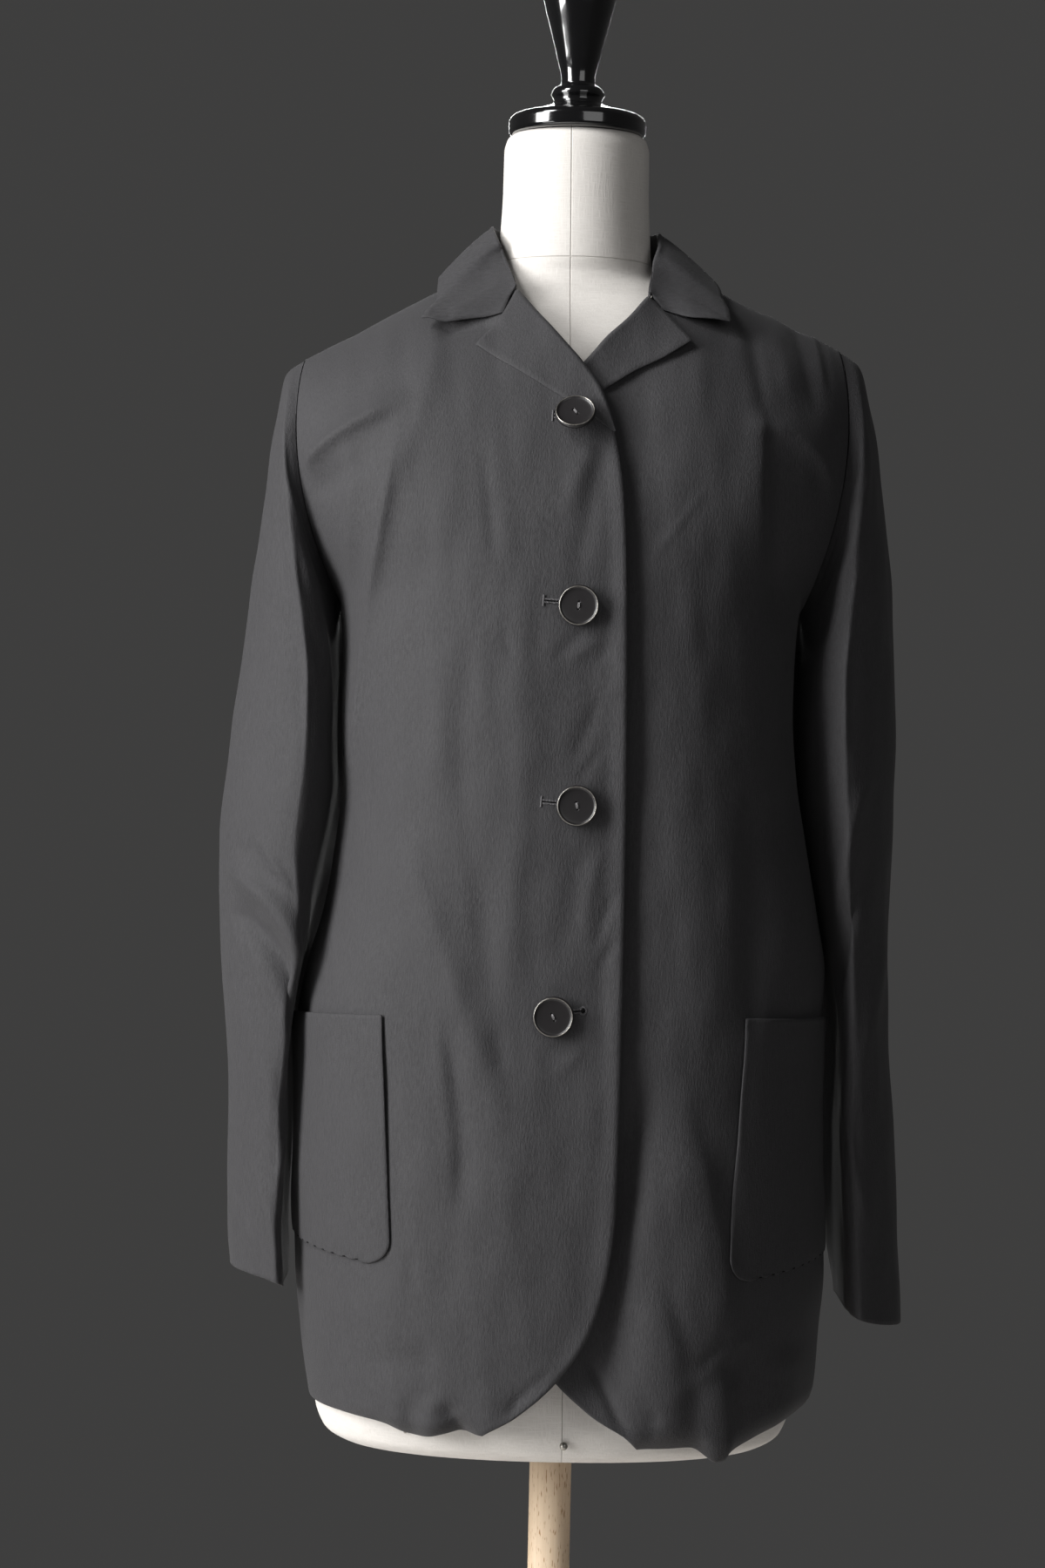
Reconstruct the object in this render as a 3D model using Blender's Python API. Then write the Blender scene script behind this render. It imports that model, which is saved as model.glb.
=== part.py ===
"""Blazer on a dress form: every piece that a tailor cuts and sews on, as a thin wall of cloth,
and the limbless linen form, cap, pole and base that it rests on.

Metres, +Z up. X runs to the viewer's right, -Y faces the viewer, and the origin lies on the
floor under the middle of the base. The wearer's right is at the viewer's left, at -X.
"""
import math
from collections import namedtuple

import bpy
import bmesh
import numpy as np
from mathutils import Vector
from mathutils.bvhtree import BVHTree

MM = 0.001

# ---------------------------------------------------------------- driving sizes
CLOTH = 1.3 * MM            # wall of the crepe with its backing
SEAM = 0.3 * MM             # gap between pieces that are sewn together
SIDE_SEAM = 0.45 * MM       # the same where two panels' edges follow a curve in steps
LAID_ON = 0.7 * MM          # gap under a pocket, a lapel or a button
SEAM_STEP = 0.5 * MM        # how far a sleeve starts outside the armhole it is set into

UNDERARM_Z = 1.178          # bottom of the armhole
SHOULDER_LINE_Z = 1.440     # where both shoulder seams would meet over the neck
NECK_POINT_X = 0.060        # shoulder seam ends here, at the side of the neck
BACK_NECK_DIP = 0.105       # rows by which the back neckline dips in its middle
PANEL_WIDTH = 0.25          # about how far a front or half the back reaches across

OVERLAP_STEP = 6.5 * MM     # the left front lies this much deeper under the right one
BREAK_Z = 1.322             # the lapels start to turn here
HEM_Z = 0.647

SIDES = {"right": -1, "left": 1}    # the wearer's sides, as signs of X

# Closed part of the body cloth. half_* is half the width on each side, front and back are the
# depths on the centre line, and seam_y is where the side seam runs.
BODY_COLUMNS = ("z", "half_right", "half_left", "front", "back", "seam_y")
BODY = (
    (0.630, 0.1590, 0.1700, 0.1330, 0.1180, 0.012),
    (0.660, 0.1640, 0.1740, 0.1380, 0.1230, 0.012),
    (0.700, 0.1690, 0.1765, 0.1390, 0.1240, 0.012),
    (0.740, 0.1730, 0.1795, 0.1385, 0.1235, 0.012),
    (0.800, 0.1745, 0.1765, 0.1370, 0.1215, 0.012),
    (0.860, 0.1735, 0.1745, 0.1350, 0.1180, 0.012),
    (0.905, 0.1705, 0.1750, 0.1335, 0.1140, 0.010),
    (0.940, 0.1660, 0.1755, 0.1325, 0.1100, 0.006),
    (0.980, 0.1575, 0.1690, 0.1315, 0.1060, 0.000),
    (1.025, 0.1505, 0.1605, 0.1310, 0.1035, -0.004),
    (1.070, 0.1465, 0.1530, 0.1310, 0.1020, -0.006),
    (1.120, 0.1480, 0.1500, 0.1315, 0.1035, -0.004),
    (1.178, 0.1490, 0.1530, 0.1305, 0.1070, 0.004),
    (1.215, 0.1500, 0.1540, 0.1285, 0.1090, 0.004),
    (1.255, 0.1500, 0.1540, 0.1235, 0.1100, 0.004),
    (1.300, 0.1500, 0.1540, 0.1125, 0.1070, 0.004),
    (1.340, 0.1500, 0.1540, 0.0970, 0.0990, 0.004),
    (1.380, 0.1500, 0.1540, 0.0720, 0.0840, 0.004),
    (1.405, 0.1500, 0.1540, 0.0510, 0.0670, 0.004),
    (1.422, 0.1500, 0.1540, 0.0330, 0.0510, 0.004),
    (1.434, 0.1500, 0.1540, 0.0120, 0.0330, 0.004),
    (1.440, 0.1500, 0.1540, -0.0120, 0.0120, 0.004),
)

# Rows of the cloth from the hem (0) past the underarm (1) to the shoulder seam (2): the height
# of each on the centre line, how far round it turns by its end, and how square it is.
ROW_COLUMNS = ("row", "centre_z", "turn", "square")
ROWS = (
    (0.00, HEM_Z, 90.0, 2.30),
    (1.00, UNDERARM_Z, 90.0, 2.35),
    (1.20, 1.212, 74.0, 2.35),
    (1.50, 1.275, 62.0, 2.30),
    (1.75, 1.347, 60.0, 2.15),
    (1.88, 1.403, 59.0, 2.08),
    (2.00, SHOULDER_LINE_Z, 58.0, 2.00),
)

# Sleeves, from the armhole down to the cuff. Each ring runs from its outer point to its inner
# one. pinch flattens it into a leaf with a crease in front and behind, bow pushes its front
# and back outwards, and lean brings its back edge in behind the body.
SLEEVE_COLUMNS = ("outer_x", "outer_z", "inner_x", "inner_z", "mid_y", "half_depth",
                  "pinch", "bow", "lean")
SLEEVES = {
    "right": (
        (0.1770, 1.3420, 0.1500, 1.1780, 0.004, 0.0580, 1.00, 0.0130, 0.0000),
        (0.1880, 1.3320, 0.1510, 1.1750, 0.003, 0.0610, 1.02, 0.0120, 0.0010),
        (0.1955, 1.2980, 0.1520, 1.1680, 0.002, 0.0640, 1.10, 0.0090, 0.0040),
        (0.2030, 1.2450, 0.1525, 1.1550, 0.001, 0.0670, 1.20, 0.0050, 0.0090),
        (0.2100, 1.1950, 0.1525, 1.1320, 0.000, 0.0690, 1.30, 0.0020, 0.0140),
        (0.2155, 1.1430, 0.1520, 1.1020, 0.000, 0.0700, 1.35, 0.0000, 0.0170),
        (0.2220, 1.0920, 0.1510, 1.0640, -0.001, 0.0700, 1.35, 0.0000, 0.0180),
        (0.2280, 1.0250, 0.1590, 1.0080, -0.002, 0.0685, 1.30, 0.0000, 0.0180),
        (0.2275, 0.9700, 0.1680, 0.9600, -0.002, 0.0660, 1.25, 0.0000, 0.0180),
        (0.2225, 0.9050, 0.1795, 0.8990, 0.000, 0.0630, 1.20, 0.0000, 0.0160),
        (0.2190, 0.8400, 0.1825, 0.8360, 0.002, 0.0610, 1.20, 0.0000, 0.0140),
        (0.2190, 0.7800, 0.1825, 0.7740, 0.004, 0.0590, 1.20, 0.0000, 0.0120),
        (0.2160, 0.7400, 0.1800, 0.7280, 0.005, 0.0580, 1.20, 0.0000, 0.0100),
    ),
    "left": (
        (0.1760, 1.3550, 0.1540, 1.1780, 0.004, 0.0580, 1.00, 0.0130, 0.0000),
        (0.1890, 1.3440, 0.1550, 1.1750, 0.003, 0.0610, 1.02, 0.0120, 0.0010),
        (0.1995, 1.3100, 0.1560, 1.1680, 0.002, 0.0640, 1.10, 0.0090, 0.0040),
        (0.2085, 1.2550, 0.1570, 1.1550, 0.001, 0.0670, 1.20, 0.0050, 0.0090),
        (0.2150, 1.2000, 0.1575, 1.1320, 0.000, 0.0690, 1.30, 0.0020, 0.0140),
        (0.2175, 1.1450, 0.1570, 1.1020, 0.000, 0.0700, 1.35, 0.0000, 0.0170),
        (0.2195, 1.0880, 0.1580, 1.0620, 0.001, 0.0700, 1.35, 0.0000, 0.0180),
        (0.2190, 1.0300, 0.1660, 1.0120, 0.003, 0.0685, 1.30, 0.0000, 0.0180),
        (0.2180, 0.9700, 0.1760, 0.9600, 0.005, 0.0660, 1.25, 0.0000, 0.0180),
        (0.2195, 0.9050, 0.1830, 0.8990, 0.006, 0.0630, 1.20, 0.0000, 0.0160),
        (0.2240, 0.8380, 0.1840, 0.8340, 0.006, 0.0610, 1.20, 0.0000, 0.0140),
        (0.2280, 0.7700, 0.1860, 0.7720, 0.004, 0.0590, 1.20, 0.0000, 0.0120),
        (0.2310, 0.7100, 0.1885, 0.7260, 0.002, 0.0580, 1.20, 0.0000, 0.0100),
    ),
}

# Edge of the right front, bottom to top: the rounded corner, the straight edge, the turn.
FRONT_EDGE_COLUMNS = ("z", "x")
FRONT_EDGE = (
    (0.630, -0.0640),
    (0.650, -0.0467),
    (0.664, -0.0242),
    (0.690, 0.0033),
    (0.721, 0.0223),
    (0.760, 0.0325),
    (0.800, 0.0360),
    (1.000, 0.0375),
    (1.180, 0.0350),
    (1.250, 0.0325),
    (1.290, 0.0260),
    (1.322, 0.0050),
    (1.350, -0.0160),
    (1.385, -0.0410),
    (1.396, -0.0510),
    (1.403, -0.0580),
    (1.410, -0.0635),
    (1.440, -0.0750),
)

# How low the hem of the fronts hangs at each place across.
HEM_COLUMNS = ("x", "z")
HEM = (
    (-0.1650, 0.6570),
    (-0.1200, 0.6550),
    (-0.0900, 0.6460),
    (-0.0600, 0.6510),
    (0.0000, 0.6520),
    (0.0540, 0.6410),
    (0.0900, 0.6420),
    (0.1050, 0.6340),
    (0.1200, 0.6400),
    (0.1450, 0.6500),
    (0.1700, 0.6590),
)
BACK_HEM_RISE = 0.010       # the back's hem rises this much towards the side seams
HEM_REACH = 0.3             # rows over which the hem's shape dies away

# Soft folds that show from across a room: a ridge (or a trough, if height is negative) from
# one end to the other in the front view, and bend moves its middle sideways.
FOLD_COLUMNS = ("panel", "x0", "z0", "x1", "z1", "bend", "width", "height")
FOLDS = (
    ("front_right", -0.172, 1.262, -0.085, 1.306, 0.004, 0.013, 0.0056),
    ("front_right", -0.142, 1.252, -0.143, 1.175, 0.002, 0.010, 0.0037),
    ("front_right", -0.116, 1.250, -0.136, 1.050, -0.002, 0.014, 0.0056),
    ("front_right", -0.074, 1.260, -0.068, 0.980, 0.006, 0.024, 0.0035),
    ("front_right", -0.042, 1.150, -0.034, 0.960, 0.004, 0.022, -0.0028),
    ("front_right", -0.069, 0.900, -0.058, 0.800, 0.000, 0.013, -0.0040),
    ("front_right", -0.020, 0.900, -0.044, 0.700, 0.006, 0.024, 0.0035),
    ("front_right", -0.120, 0.740, -0.096, 0.640, 0.000, 0.020, 0.0044),
    ("front_left", 0.172, 1.268, 0.110, 1.300, 0.004, 0.013, 0.0044),
    ("front_left", 0.122, 1.256, 0.134, 1.080, -0.003, 0.013, 0.0056),
    ("front_left", 0.148, 1.225, 0.146, 1.080, 0.002, 0.009, 0.0035),
    ("front_left", 0.086, 1.270, 0.092, 1.000, -0.004, 0.022, 0.0031),
    ("front_left", 0.060, 1.050, 0.066, 0.800, 0.004, 0.024, -0.0031),
    ("front_left", 0.080, 0.850, 0.106, 0.640, 0.004, 0.018, 0.0069),
    ("front_left", 0.040, 0.800, 0.052, 0.660, 0.000, 0.018, 0.0031),
    ("back", -0.072, 1.270, -0.090, 0.660, 0.008, 0.026, 0.0063),
    ("back", 0.066, 1.270, 0.098, 0.660, -0.006, 0.026, 0.0056),
    ("back", -0.016, 1.200, 0.006, 0.680, 0.008, 0.030, -0.0056),
    ("back", 0.130, 1.240, 0.060, 1.290, 0.004, 0.016, 0.0037),
    ("back", -0.132, 1.235, -0.070, 1.285, 0.004, 0.016, 0.0037),
)

# Folds of the empty sleeves: where each lies round the sleeve and along it, in degrees from
# the outer edge towards the front and in rings from the armhole.
SLEEVE_FOLD_COLUMNS = ("side", "angle0", "ring0", "angle1", "ring1", "spread", "height")
SLEEVE_FOLDS = (
    ("right", 95.0, 2.0, 150.0, 5.2, 16.0, 0.0045),
    ("right", 40.0, 6.3, 110.0, 7.4, 15.0, 0.0040),
    ("right", 20.0, 7.6, 96.0, 8.4, 14.0, 0.0035),
    ("right", 120.0, 8.9, 50.0, 10.2, 14.0, 0.0030),
    ("right", 250.0, 6.6, 320.0, 7.6, 16.0, 0.0040),
    ("left", 95.0, 2.0, 140.0, 5.6, 16.0, 0.0040),
    ("left", 60.0, 6.2, 120.0, 7.6, 15.0, 0.0040),
    ("left", 30.0, 8.2, 84.0, 9.6, 14.0, 0.0030),
    ("left", 300.0, 6.4, 236.0, 7.8, 16.0, 0.0040),
)

# Patch pockets: inner edge, mouth and bottom in the front view, and how far along the panel's
# row the outer edge lies (1 is the side seam).
POCKET_COLUMNS = ("side", "inner_x", "top_z", "bottom_z", "outer_t", "corner")
POCKETS = (
    ("right", -0.1115, 0.914, 0.758, 0.955, 0.026),
    ("left", 0.1140, 0.905, 0.748, 0.955, 0.026),
)

# Collar, from the middle of the back round to its front end. Each row gives the neck seam, the
# fold on top of the stand and the outer edge of the fall, on one side.
COLLAR_COLUMNS = ("seam_x", "seam_y", "seam_z", "fold_x", "fold_y", "fold_z",
                  "edge_x", "edge_y", "edge_z")
COLLAR = {
    "right": (
        (0.000, 0.0640, 1.4090, 0.0000, 0.0600, 1.4360, 0.0000, 0.0930, 1.3790),
        (0.033, 0.0550, 1.4105, 0.0300, 0.0530, 1.4360, 0.0510, 0.0850, 1.3780),
        (0.056, 0.0320, 1.4120, 0.0510, 0.0290, 1.4340, 0.0840, 0.0450, 1.3880),
        (0.0575, 0.0080, 1.4115, 0.0545, 0.0040, 1.4330, 0.0900, 0.0020, 1.3980),
        (0.055, -0.0140, 1.4050, 0.0525, -0.0180, 1.4250, 0.0900, -0.0260, 1.3860),
        (0.048, -0.0360, 1.3985, 0.0460, -0.0400, 1.4090, 0.0900, -0.0500, 1.3740),
        (0.0405, -0.0530, 1.3900, 0.0380, -0.0580, 1.3910, 0.0905, -0.0680, 1.3590),
        (0.0370, -0.0625, 1.3835, 0.0345, -0.0650, 1.3855, 0.0470, -0.0800, 1.3690),
    ),
    "left": (
        (0.000, 0.0640, 1.4090, 0.0000, 0.0600, 1.4360, 0.0000, 0.0930, 1.3790),
        (0.033, 0.0550, 1.4105, 0.0300, 0.0530, 1.4360, 0.0510, 0.0850, 1.3780),
        (0.056, 0.0320, 1.4120, 0.0520, 0.0290, 1.4330, 0.0840, 0.0450, 1.3880),
        (0.0575, 0.0080, 1.4115, 0.0550, 0.0040, 1.4310, 0.0910, 0.0020, 1.4000),
        (0.057, -0.0140, 1.4050, 0.0550, -0.0180, 1.4210, 0.0950, -0.0260, 1.3880),
        (0.0515, -0.0360, 1.3985, 0.0510, -0.0400, 1.4060, 0.0970, -0.0500, 1.3760),
        (0.0465, -0.0530, 1.3895, 0.0455, -0.0580, 1.3895, 0.0980, -0.0680, 1.3570),
        (0.0445, -0.0625, 1.3825, 0.0425, -0.0650, 1.3835, 0.0560, -0.0800, 1.3715),
    ),
}

# The collar's cross section: part of the way from seam to fold, then from fold to edge, and
# how far each point rises off that line.
COLLAR_SECTION_COLUMNS = ("from_seam", "from_fold", "rise")
COLLAR_SECTION = (
    (0.00, 0.00, 0.0000),
    (0.50, 0.00, 0.0000),
    (0.90, 0.00, 0.0000),
    (1.00, 0.03, 0.0012),
    (1.00, 0.14, 0.0018),
    (1.00, 0.40, 0.0020),
    (1.00, 0.70, 0.0012),
    (1.00, 1.00, 0.0000),
)
COLLAR_LIFT = 4.0 * MM      # how far the fall stands off the panels
COLLAR_LIFT_FROM = 0.3      # and from which part of the way out to its edge
LAPEL_LIFT = 1.2 * MM       # how far the edge of a lapel stands off the front
LAPEL_ROLL = 1.8 * MM       # how far the lapel's roll swells

# Lapels in the front view: where the roll starts, where it meets the gorge seam, the notch,
# the tip, and where the edge comes back to the front.
LAPELS = {
    "right": {"break": (0.0060, 1.3260), "roll": (-0.0365, 1.3815), "notch": (-0.0469, 1.3665),
              "tip": (-0.0629, 1.3442), "foot": (-0.0048, 1.3065)},
    "left": {"break": (0.0085, 1.3270), "roll": (0.0445, 1.3800), "notch": (0.0563, 1.3682),
             "tip": (0.0718, 1.3500), "foot": (0.0167, 1.3125)},
}

BUTTON_RADIUS = 13.0 * MM
BUTTON_THICK = 3.6 * MM
BUTTON_COLUMNS = ("number", "x", "z")
BUTTONS = (
    (1, 0.0010, 1.2950),
    (2, 0.0054, 1.1750),
    (3, 0.0066, 1.0490),
    (4, -0.0055, 0.9160),
)
PROFILE_COLUMNS = ("radius", "z")

# A button, in parts of its radius and thickness.
BUTTON_PROFILE = (
    (0.00, 0.00),
    (0.80, 0.00),
    (0.97, 0.30),
    (1.00, 0.62),
    (0.95, 0.95),
    (0.88, 1.00),
    (0.80, 0.84),
    (0.74, 0.60),
    (0.40, 0.50),
    (0.00, 0.48),
)

# The linen form: half width and depths of each ring.
FORM_COLUMNS = ("z", "half", "front", "back", "square")
FORM = (
    (0.6260, 0.1180, 0.0760, 0.0820, 2.2),
    (0.6290, 0.1400, 0.0960, 0.1000, 2.2),
    (0.6370, 0.1520, 0.1060, 0.1050, 2.2),
    (0.6520, 0.1575, 0.1105, 0.1085, 2.2),
    (0.6900, 0.1610, 0.1120, 0.1100, 2.2),
    (0.7600, 0.1640, 0.1120, 0.1100, 2.2),
    (0.8300, 0.1610, 0.1080, 0.1070, 2.2),
    (0.9000, 0.1530, 0.1010, 0.1010, 2.2),
    (0.9700, 0.1330, 0.0920, 0.0900, 2.2),
    (1.0300, 0.1220, 0.0890, 0.0840, 2.1),
    (1.0900, 0.1250, 0.0960, 0.0870, 2.1),
    (1.1500, 0.1330, 0.1080, 0.0940, 2.1),
    (1.2000, 0.1400, 0.1120, 0.0980, 2.1),
    (1.2500, 0.1480, 0.1070, 0.0990, 2.1),
    (1.2900, 0.1540, 0.0980, 0.0950, 2.1),
    (1.3200, 0.1580, 0.0850, 0.0860, 2.1),
    (1.3380, 0.1550, 0.0760, 0.0780, 2.1),
    (1.3550, 0.1400, 0.0640, 0.0680, 2.1),
    (1.3720, 0.1120, 0.0508, 0.0590, 2.0),
    (1.3860, 0.0844, 0.0430, 0.0530, 2.0),
    (1.3980, 0.0578, 0.0418, 0.0510, 2.0),
    (1.4080, 0.0515, 0.0440, 0.0510, 2.0),
    (1.4250, 0.0500, 0.0445, 0.0505, 2.0),
    (1.4550, 0.0485, 0.0445, 0.0490, 2.0),
    (1.4820, 0.0482, 0.0440, 0.0480, 2.0),
    (1.4900, 0.0462, 0.0420, 0.0460, 2.0),
    (1.4930, 0.0430, 0.0390, 0.0430, 2.0),
)

# The black turned cap: a disc, a bead and a finial that swells upwards.
CAP = (
    (0.0000, 1.4934),
    (0.0430, 1.4934),
    (0.0455, 1.4965),
    (0.0455, 1.5020),
    (0.0430, 1.5060),
    (0.0340, 1.5085),
    (0.0240, 1.5115),
    (0.0165, 1.5150),
    (0.0160, 1.5175),
    (0.0176, 1.5210),
    (0.0160, 1.5250),
    (0.0115, 1.5280),
    (0.0112, 1.5320),
    (0.0140, 1.5450),
    (0.0185, 1.5630),
    (0.0238, 1.5840),
    (0.0264, 1.6010),
    (0.0252, 1.6130),
    (0.0195, 1.6230),
    (0.0100, 1.6285),
    (0.0000, 1.6300),
)

POLE_RADIUS = 13.9 * MM
BASE = (
    (0.0000, 0.0000),
    (0.1800, 0.0000),
    (0.1840, 0.0030),
    (0.1850, 0.0080),
    (0.1840, 0.0180),
    (0.1780, 0.0235),
    (0.1650, 0.0260),
    (0.0420, 0.0290),
    (0.0330, 0.0310),
    (0.0300, 0.0380),
    (0.0280, 0.0420),
    (0.0000, 0.0420),
)

# ---------------------------------------------------------------- how finely it is cut
FRONT_ACROSS = 19
FRONT_DOWN = 29
BACK_ACROSS = 25
BACK_DOWN = 23
SLEEVE_ROUND = 20
SLEEVE_DOWN = 23
COLLAR_STEPS = 13
COLLAR_END_STEPS = 4
LAPEL_ALONG = 10
LAPEL_ACROSS = 7
POCKET_ACROSS = 9
POCKET_DOWN = 11
POCKET_CORNER = 4
BUTTON_ROUND = 18
FORM_ROUND = 30
CAP_ROUND = 20
POLE_ROUND = 20
BASE_ROUND = 36
LOWER_ROWS = 0.58           # part of a panel's rows that lie below the underarm
ARMHOLE_RINGS = 4           # rings of a sleeve's table that are drawn closer together
HALVINGS = 26               # to find a height on a front to better than a micrometre
EDGE_ROUNDS = 12            # to settle where the curved front edge crosses each row


# ---------------------------------------------------------------- small tools
def hermite(xs, ys, at):
    """A smooth curve through (xs, ys) that never overshoots them, read at one place or many."""
    xs = np.asarray(xs, float)
    ys = np.asarray(ys, float)
    at = np.clip(np.asarray(at, float), xs[0], xs[-1])
    step = np.diff(xs)
    slope = np.diff(ys) / step
    tangent = np.zeros_like(ys)
    rising = slope[:-1] * slope[1:] > 0
    inner = np.zeros_like(slope[:-1])
    both = 2 * slope[:-1] * slope[1:]
    inner[rising] = both[rising] / (slope[:-1] + slope[1:])[rising]
    tangent[1:-1] = inner
    tangent[0] = slope[0]
    tangent[-1] = slope[-1]
    k = np.clip(np.searchsorted(xs, at, side="right") - 1, 0, len(step) - 1)
    s = (at - xs[k]) / step[k]
    h00 = (1 + 2 * s) * (1 - s) ** 2
    h10 = s * (1 - s) ** 2
    h01 = s * s * (3 - 2 * s)
    h11 = s * s * (s - 1)
    return (h00 * ys[k] + h10 * step[k] * tangent[k]
            + h01 * ys[k + 1] + h11 * step[k] * tangent[k + 1])


def column(rows, names, name):
    return np.array([row[names.index(name)] for row in rows], float)


def read(rows, names, name, at):
    """One column of a table at a place along its first column."""
    return hermite(column(rows, names, names[0]), column(rows, names, name), at)


def named(rows, names):
    """The rows of a table with their columns as fields."""
    record = namedtuple("record", names)
    return [record(*row) for row in rows]


def smooth_step(value, low, high):
    s = np.clip((value - low) / (high - low), 0.0, 1.0)
    return s * s * (3 - 2 * s)


def superellipse(turn, square):
    """Across and forward parts of a rounded quadrant, for a turn in radians from its middle."""
    across = np.abs(np.sin(turn)) ** (2 / square)
    forward = np.abs(np.cos(turn)) ** (2 / square)
    return across, forward


def normals_of(grid, closed=False):
    """Unit normals of a grid of points, from its neighbours on each side."""
    if closed:
        along = np.roll(grid, -1, axis=1) - np.roll(grid, 1, axis=1)
    else:
        along = np.gradient(grid, axis=1)
    down = np.gradient(grid, axis=0)
    normal = np.cross(along, down)
    length = np.linalg.norm(normal, axis=2, keepdims=True)
    return normal / np.maximum(length, 1e-12)


def colour(hex_code):
    """Linear colour of an sRGB hex value."""
    parts = [int(hex_code[i:i + 2], 16) / 255 for i in (1, 3, 5)]
    linear = [p / 12.92 if p <= 0.04045 else ((p + 0.055) / 1.055) ** 2.4 for p in parts]
    return (*linear, 1.0)


def finish(name, hex_code, roughness, metallic=0.0):
    material = bpy.data.materials.new(name)
    material.use_nodes = True
    shader = material.node_tree.nodes["Principled BSDF"]
    shader.inputs["Base Color"].default_value = colour(hex_code)
    shader.inputs["Roughness"].default_value = roughness
    shader.inputs["Metallic"].default_value = metallic
    return material


def add_piece(name, points, faces, material):
    """One named object from points and faces, its faces turned outwards."""
    mesh = bpy.data.meshes.new(name)
    mesh.from_pydata([tuple(map(float, p)) for p in points], [], faces)
    work = bmesh.new()
    work.from_mesh(mesh)
    bmesh.ops.recalc_face_normals(work, faces=work.faces)
    work.to_mesh(mesh)
    work.free()
    mesh.shade_smooth()
    mesh.set_sharp_from_angle(angle=math.radians(50))
    mesh.materials.append(material)
    piece = bpy.data.objects.new(name, mesh)
    bpy.context.scene.collection.objects.link(piece)
    return piece


def wall(name, outer, inner, material, closed=False):
    """A sheet between an outer and an inner grid of points, closed all round its rim."""
    rows, cols = outer.shape[:2]
    points = np.concatenate([outer.reshape(-1, 3), inner.reshape(-1, 3)])
    back = rows * cols
    spans = cols if closed else cols - 1

    def at(r, c, side):
        return side * back + r * cols + c % cols

    faces = []
    for r in range(rows - 1):
        for c in range(spans):
            faces.append((at(r, c, 0), at(r, c + 1, 0), at(r + 1, c + 1, 0), at(r + 1, c, 0)))
            faces.append((at(r, c, 1), at(r + 1, c, 1), at(r + 1, c + 1, 1), at(r, c + 1, 1)))
    for r, flip in ((0, False), (rows - 1, True)):
        for c in range(spans):
            rim = (at(r, c, 0), at(r, c, 1), at(r, c + 1, 1), at(r, c + 1, 0))
            faces.append(rim[::-1] if flip else rim)
    if not closed:
        for c, flip in ((0, True), (cols - 1, False)):
            for r in range(rows - 1):
                rim = (at(r, c, 0), at(r, c, 1), at(r + 1, c, 1), at(r + 1, c, 0))
                faces.append(rim[::-1] if flip else rim)
    return add_piece(name, points, faces, material)


def stack(name, rings, material):
    """A solid through closed rings, with a flat cap on each end ring."""
    count, cols = rings.shape[:2]
    faces = []
    for r in range(count - 1):
        for c in range(cols):
            d = (c + 1) % cols
            faces.append((r * cols + c, r * cols + d, (r + 1) * cols + d, (r + 1) * cols + c))
    faces.append(tuple(range(cols)))
    faces.append(tuple(range((count - 1) * cols, count * cols)))
    return add_piece(name, rings.reshape(-1, 3), faces, material)


def turned(name, profile, sides, material, place=None):
    """A solid of revolution about Z: profile is (radius, z), and starts and ends on the axis."""
    points = []
    rings = []
    for radius, z in profile:
        if radius == 0:
            rings.append([len(points)] * sides)
            points.append((0.0, 0.0, z))
            continue
        rings.append(list(range(len(points), len(points) + sides)))
        for k in range(sides):
            turn = 2 * math.pi * k / sides
            points.append((radius * math.cos(turn), radius * math.sin(turn), z))
    faces = []
    for low, high in zip(rings, rings[1:]):
        for k in range(sides):
            n = (k + 1) % sides
            corners = []
            for corner in (low[k], low[n], high[n], high[k]):
                if corner not in corners:
                    corners.append(corner)
            faces.append(tuple(corners))
    if place is not None:
        points = [place @ Vector(p) for p in points]
    return add_piece(name, points, faces, material)


# ---------------------------------------------------------------- the cloth's shape
def arm_loop(side, angle):
    """The armhole seam, from the shoulder (0 degrees) down its front (90) to the underarm."""
    return sleeve_ring(side, 0.0, angle)


def sleeve_ring(side, ring, angle):
    rows = SLEEVES[side]
    index = np.arange(len(rows))
    size = {name: hermite(index, column(rows, SLEEVE_COLUMNS, name), ring)
            for name in SLEEVE_COLUMNS}
    turn = np.radians(angle)
    reach = np.sign(np.cos(turn)) * np.abs(np.cos(turn)) ** size["pinch"]
    side_part = (size["outer_x"] + size["inner_x"]) / 2
    side_part = side_part + (size["outer_x"] - size["inner_x"]) / 2 * reach
    side_part = side_part + size["bow"] * (1 - np.cos(turn) ** 2)
    up = (size["outer_z"] + size["inner_z"]) / 2 + (size["outer_z"] - size["inner_z"]) / 2 * reach
    side_part = side_part + size["lean"] * np.minimum(np.sin(turn), 0)
    forward = size["mid_y"] - size["half_depth"] * np.sin(turn)
    return SIDES[side] * side_part, forward, up


def centre_height(row):
    """Height on the centre line of each row: even below the underarm, by the table above."""
    row = np.asarray(row, float)
    low = HEM_Z + (UNDERARM_Z - HEM_Z) * row
    return np.where(row <= 1, low, read(ROWS, ROW_COLUMNS, "centre_z", row))


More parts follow.
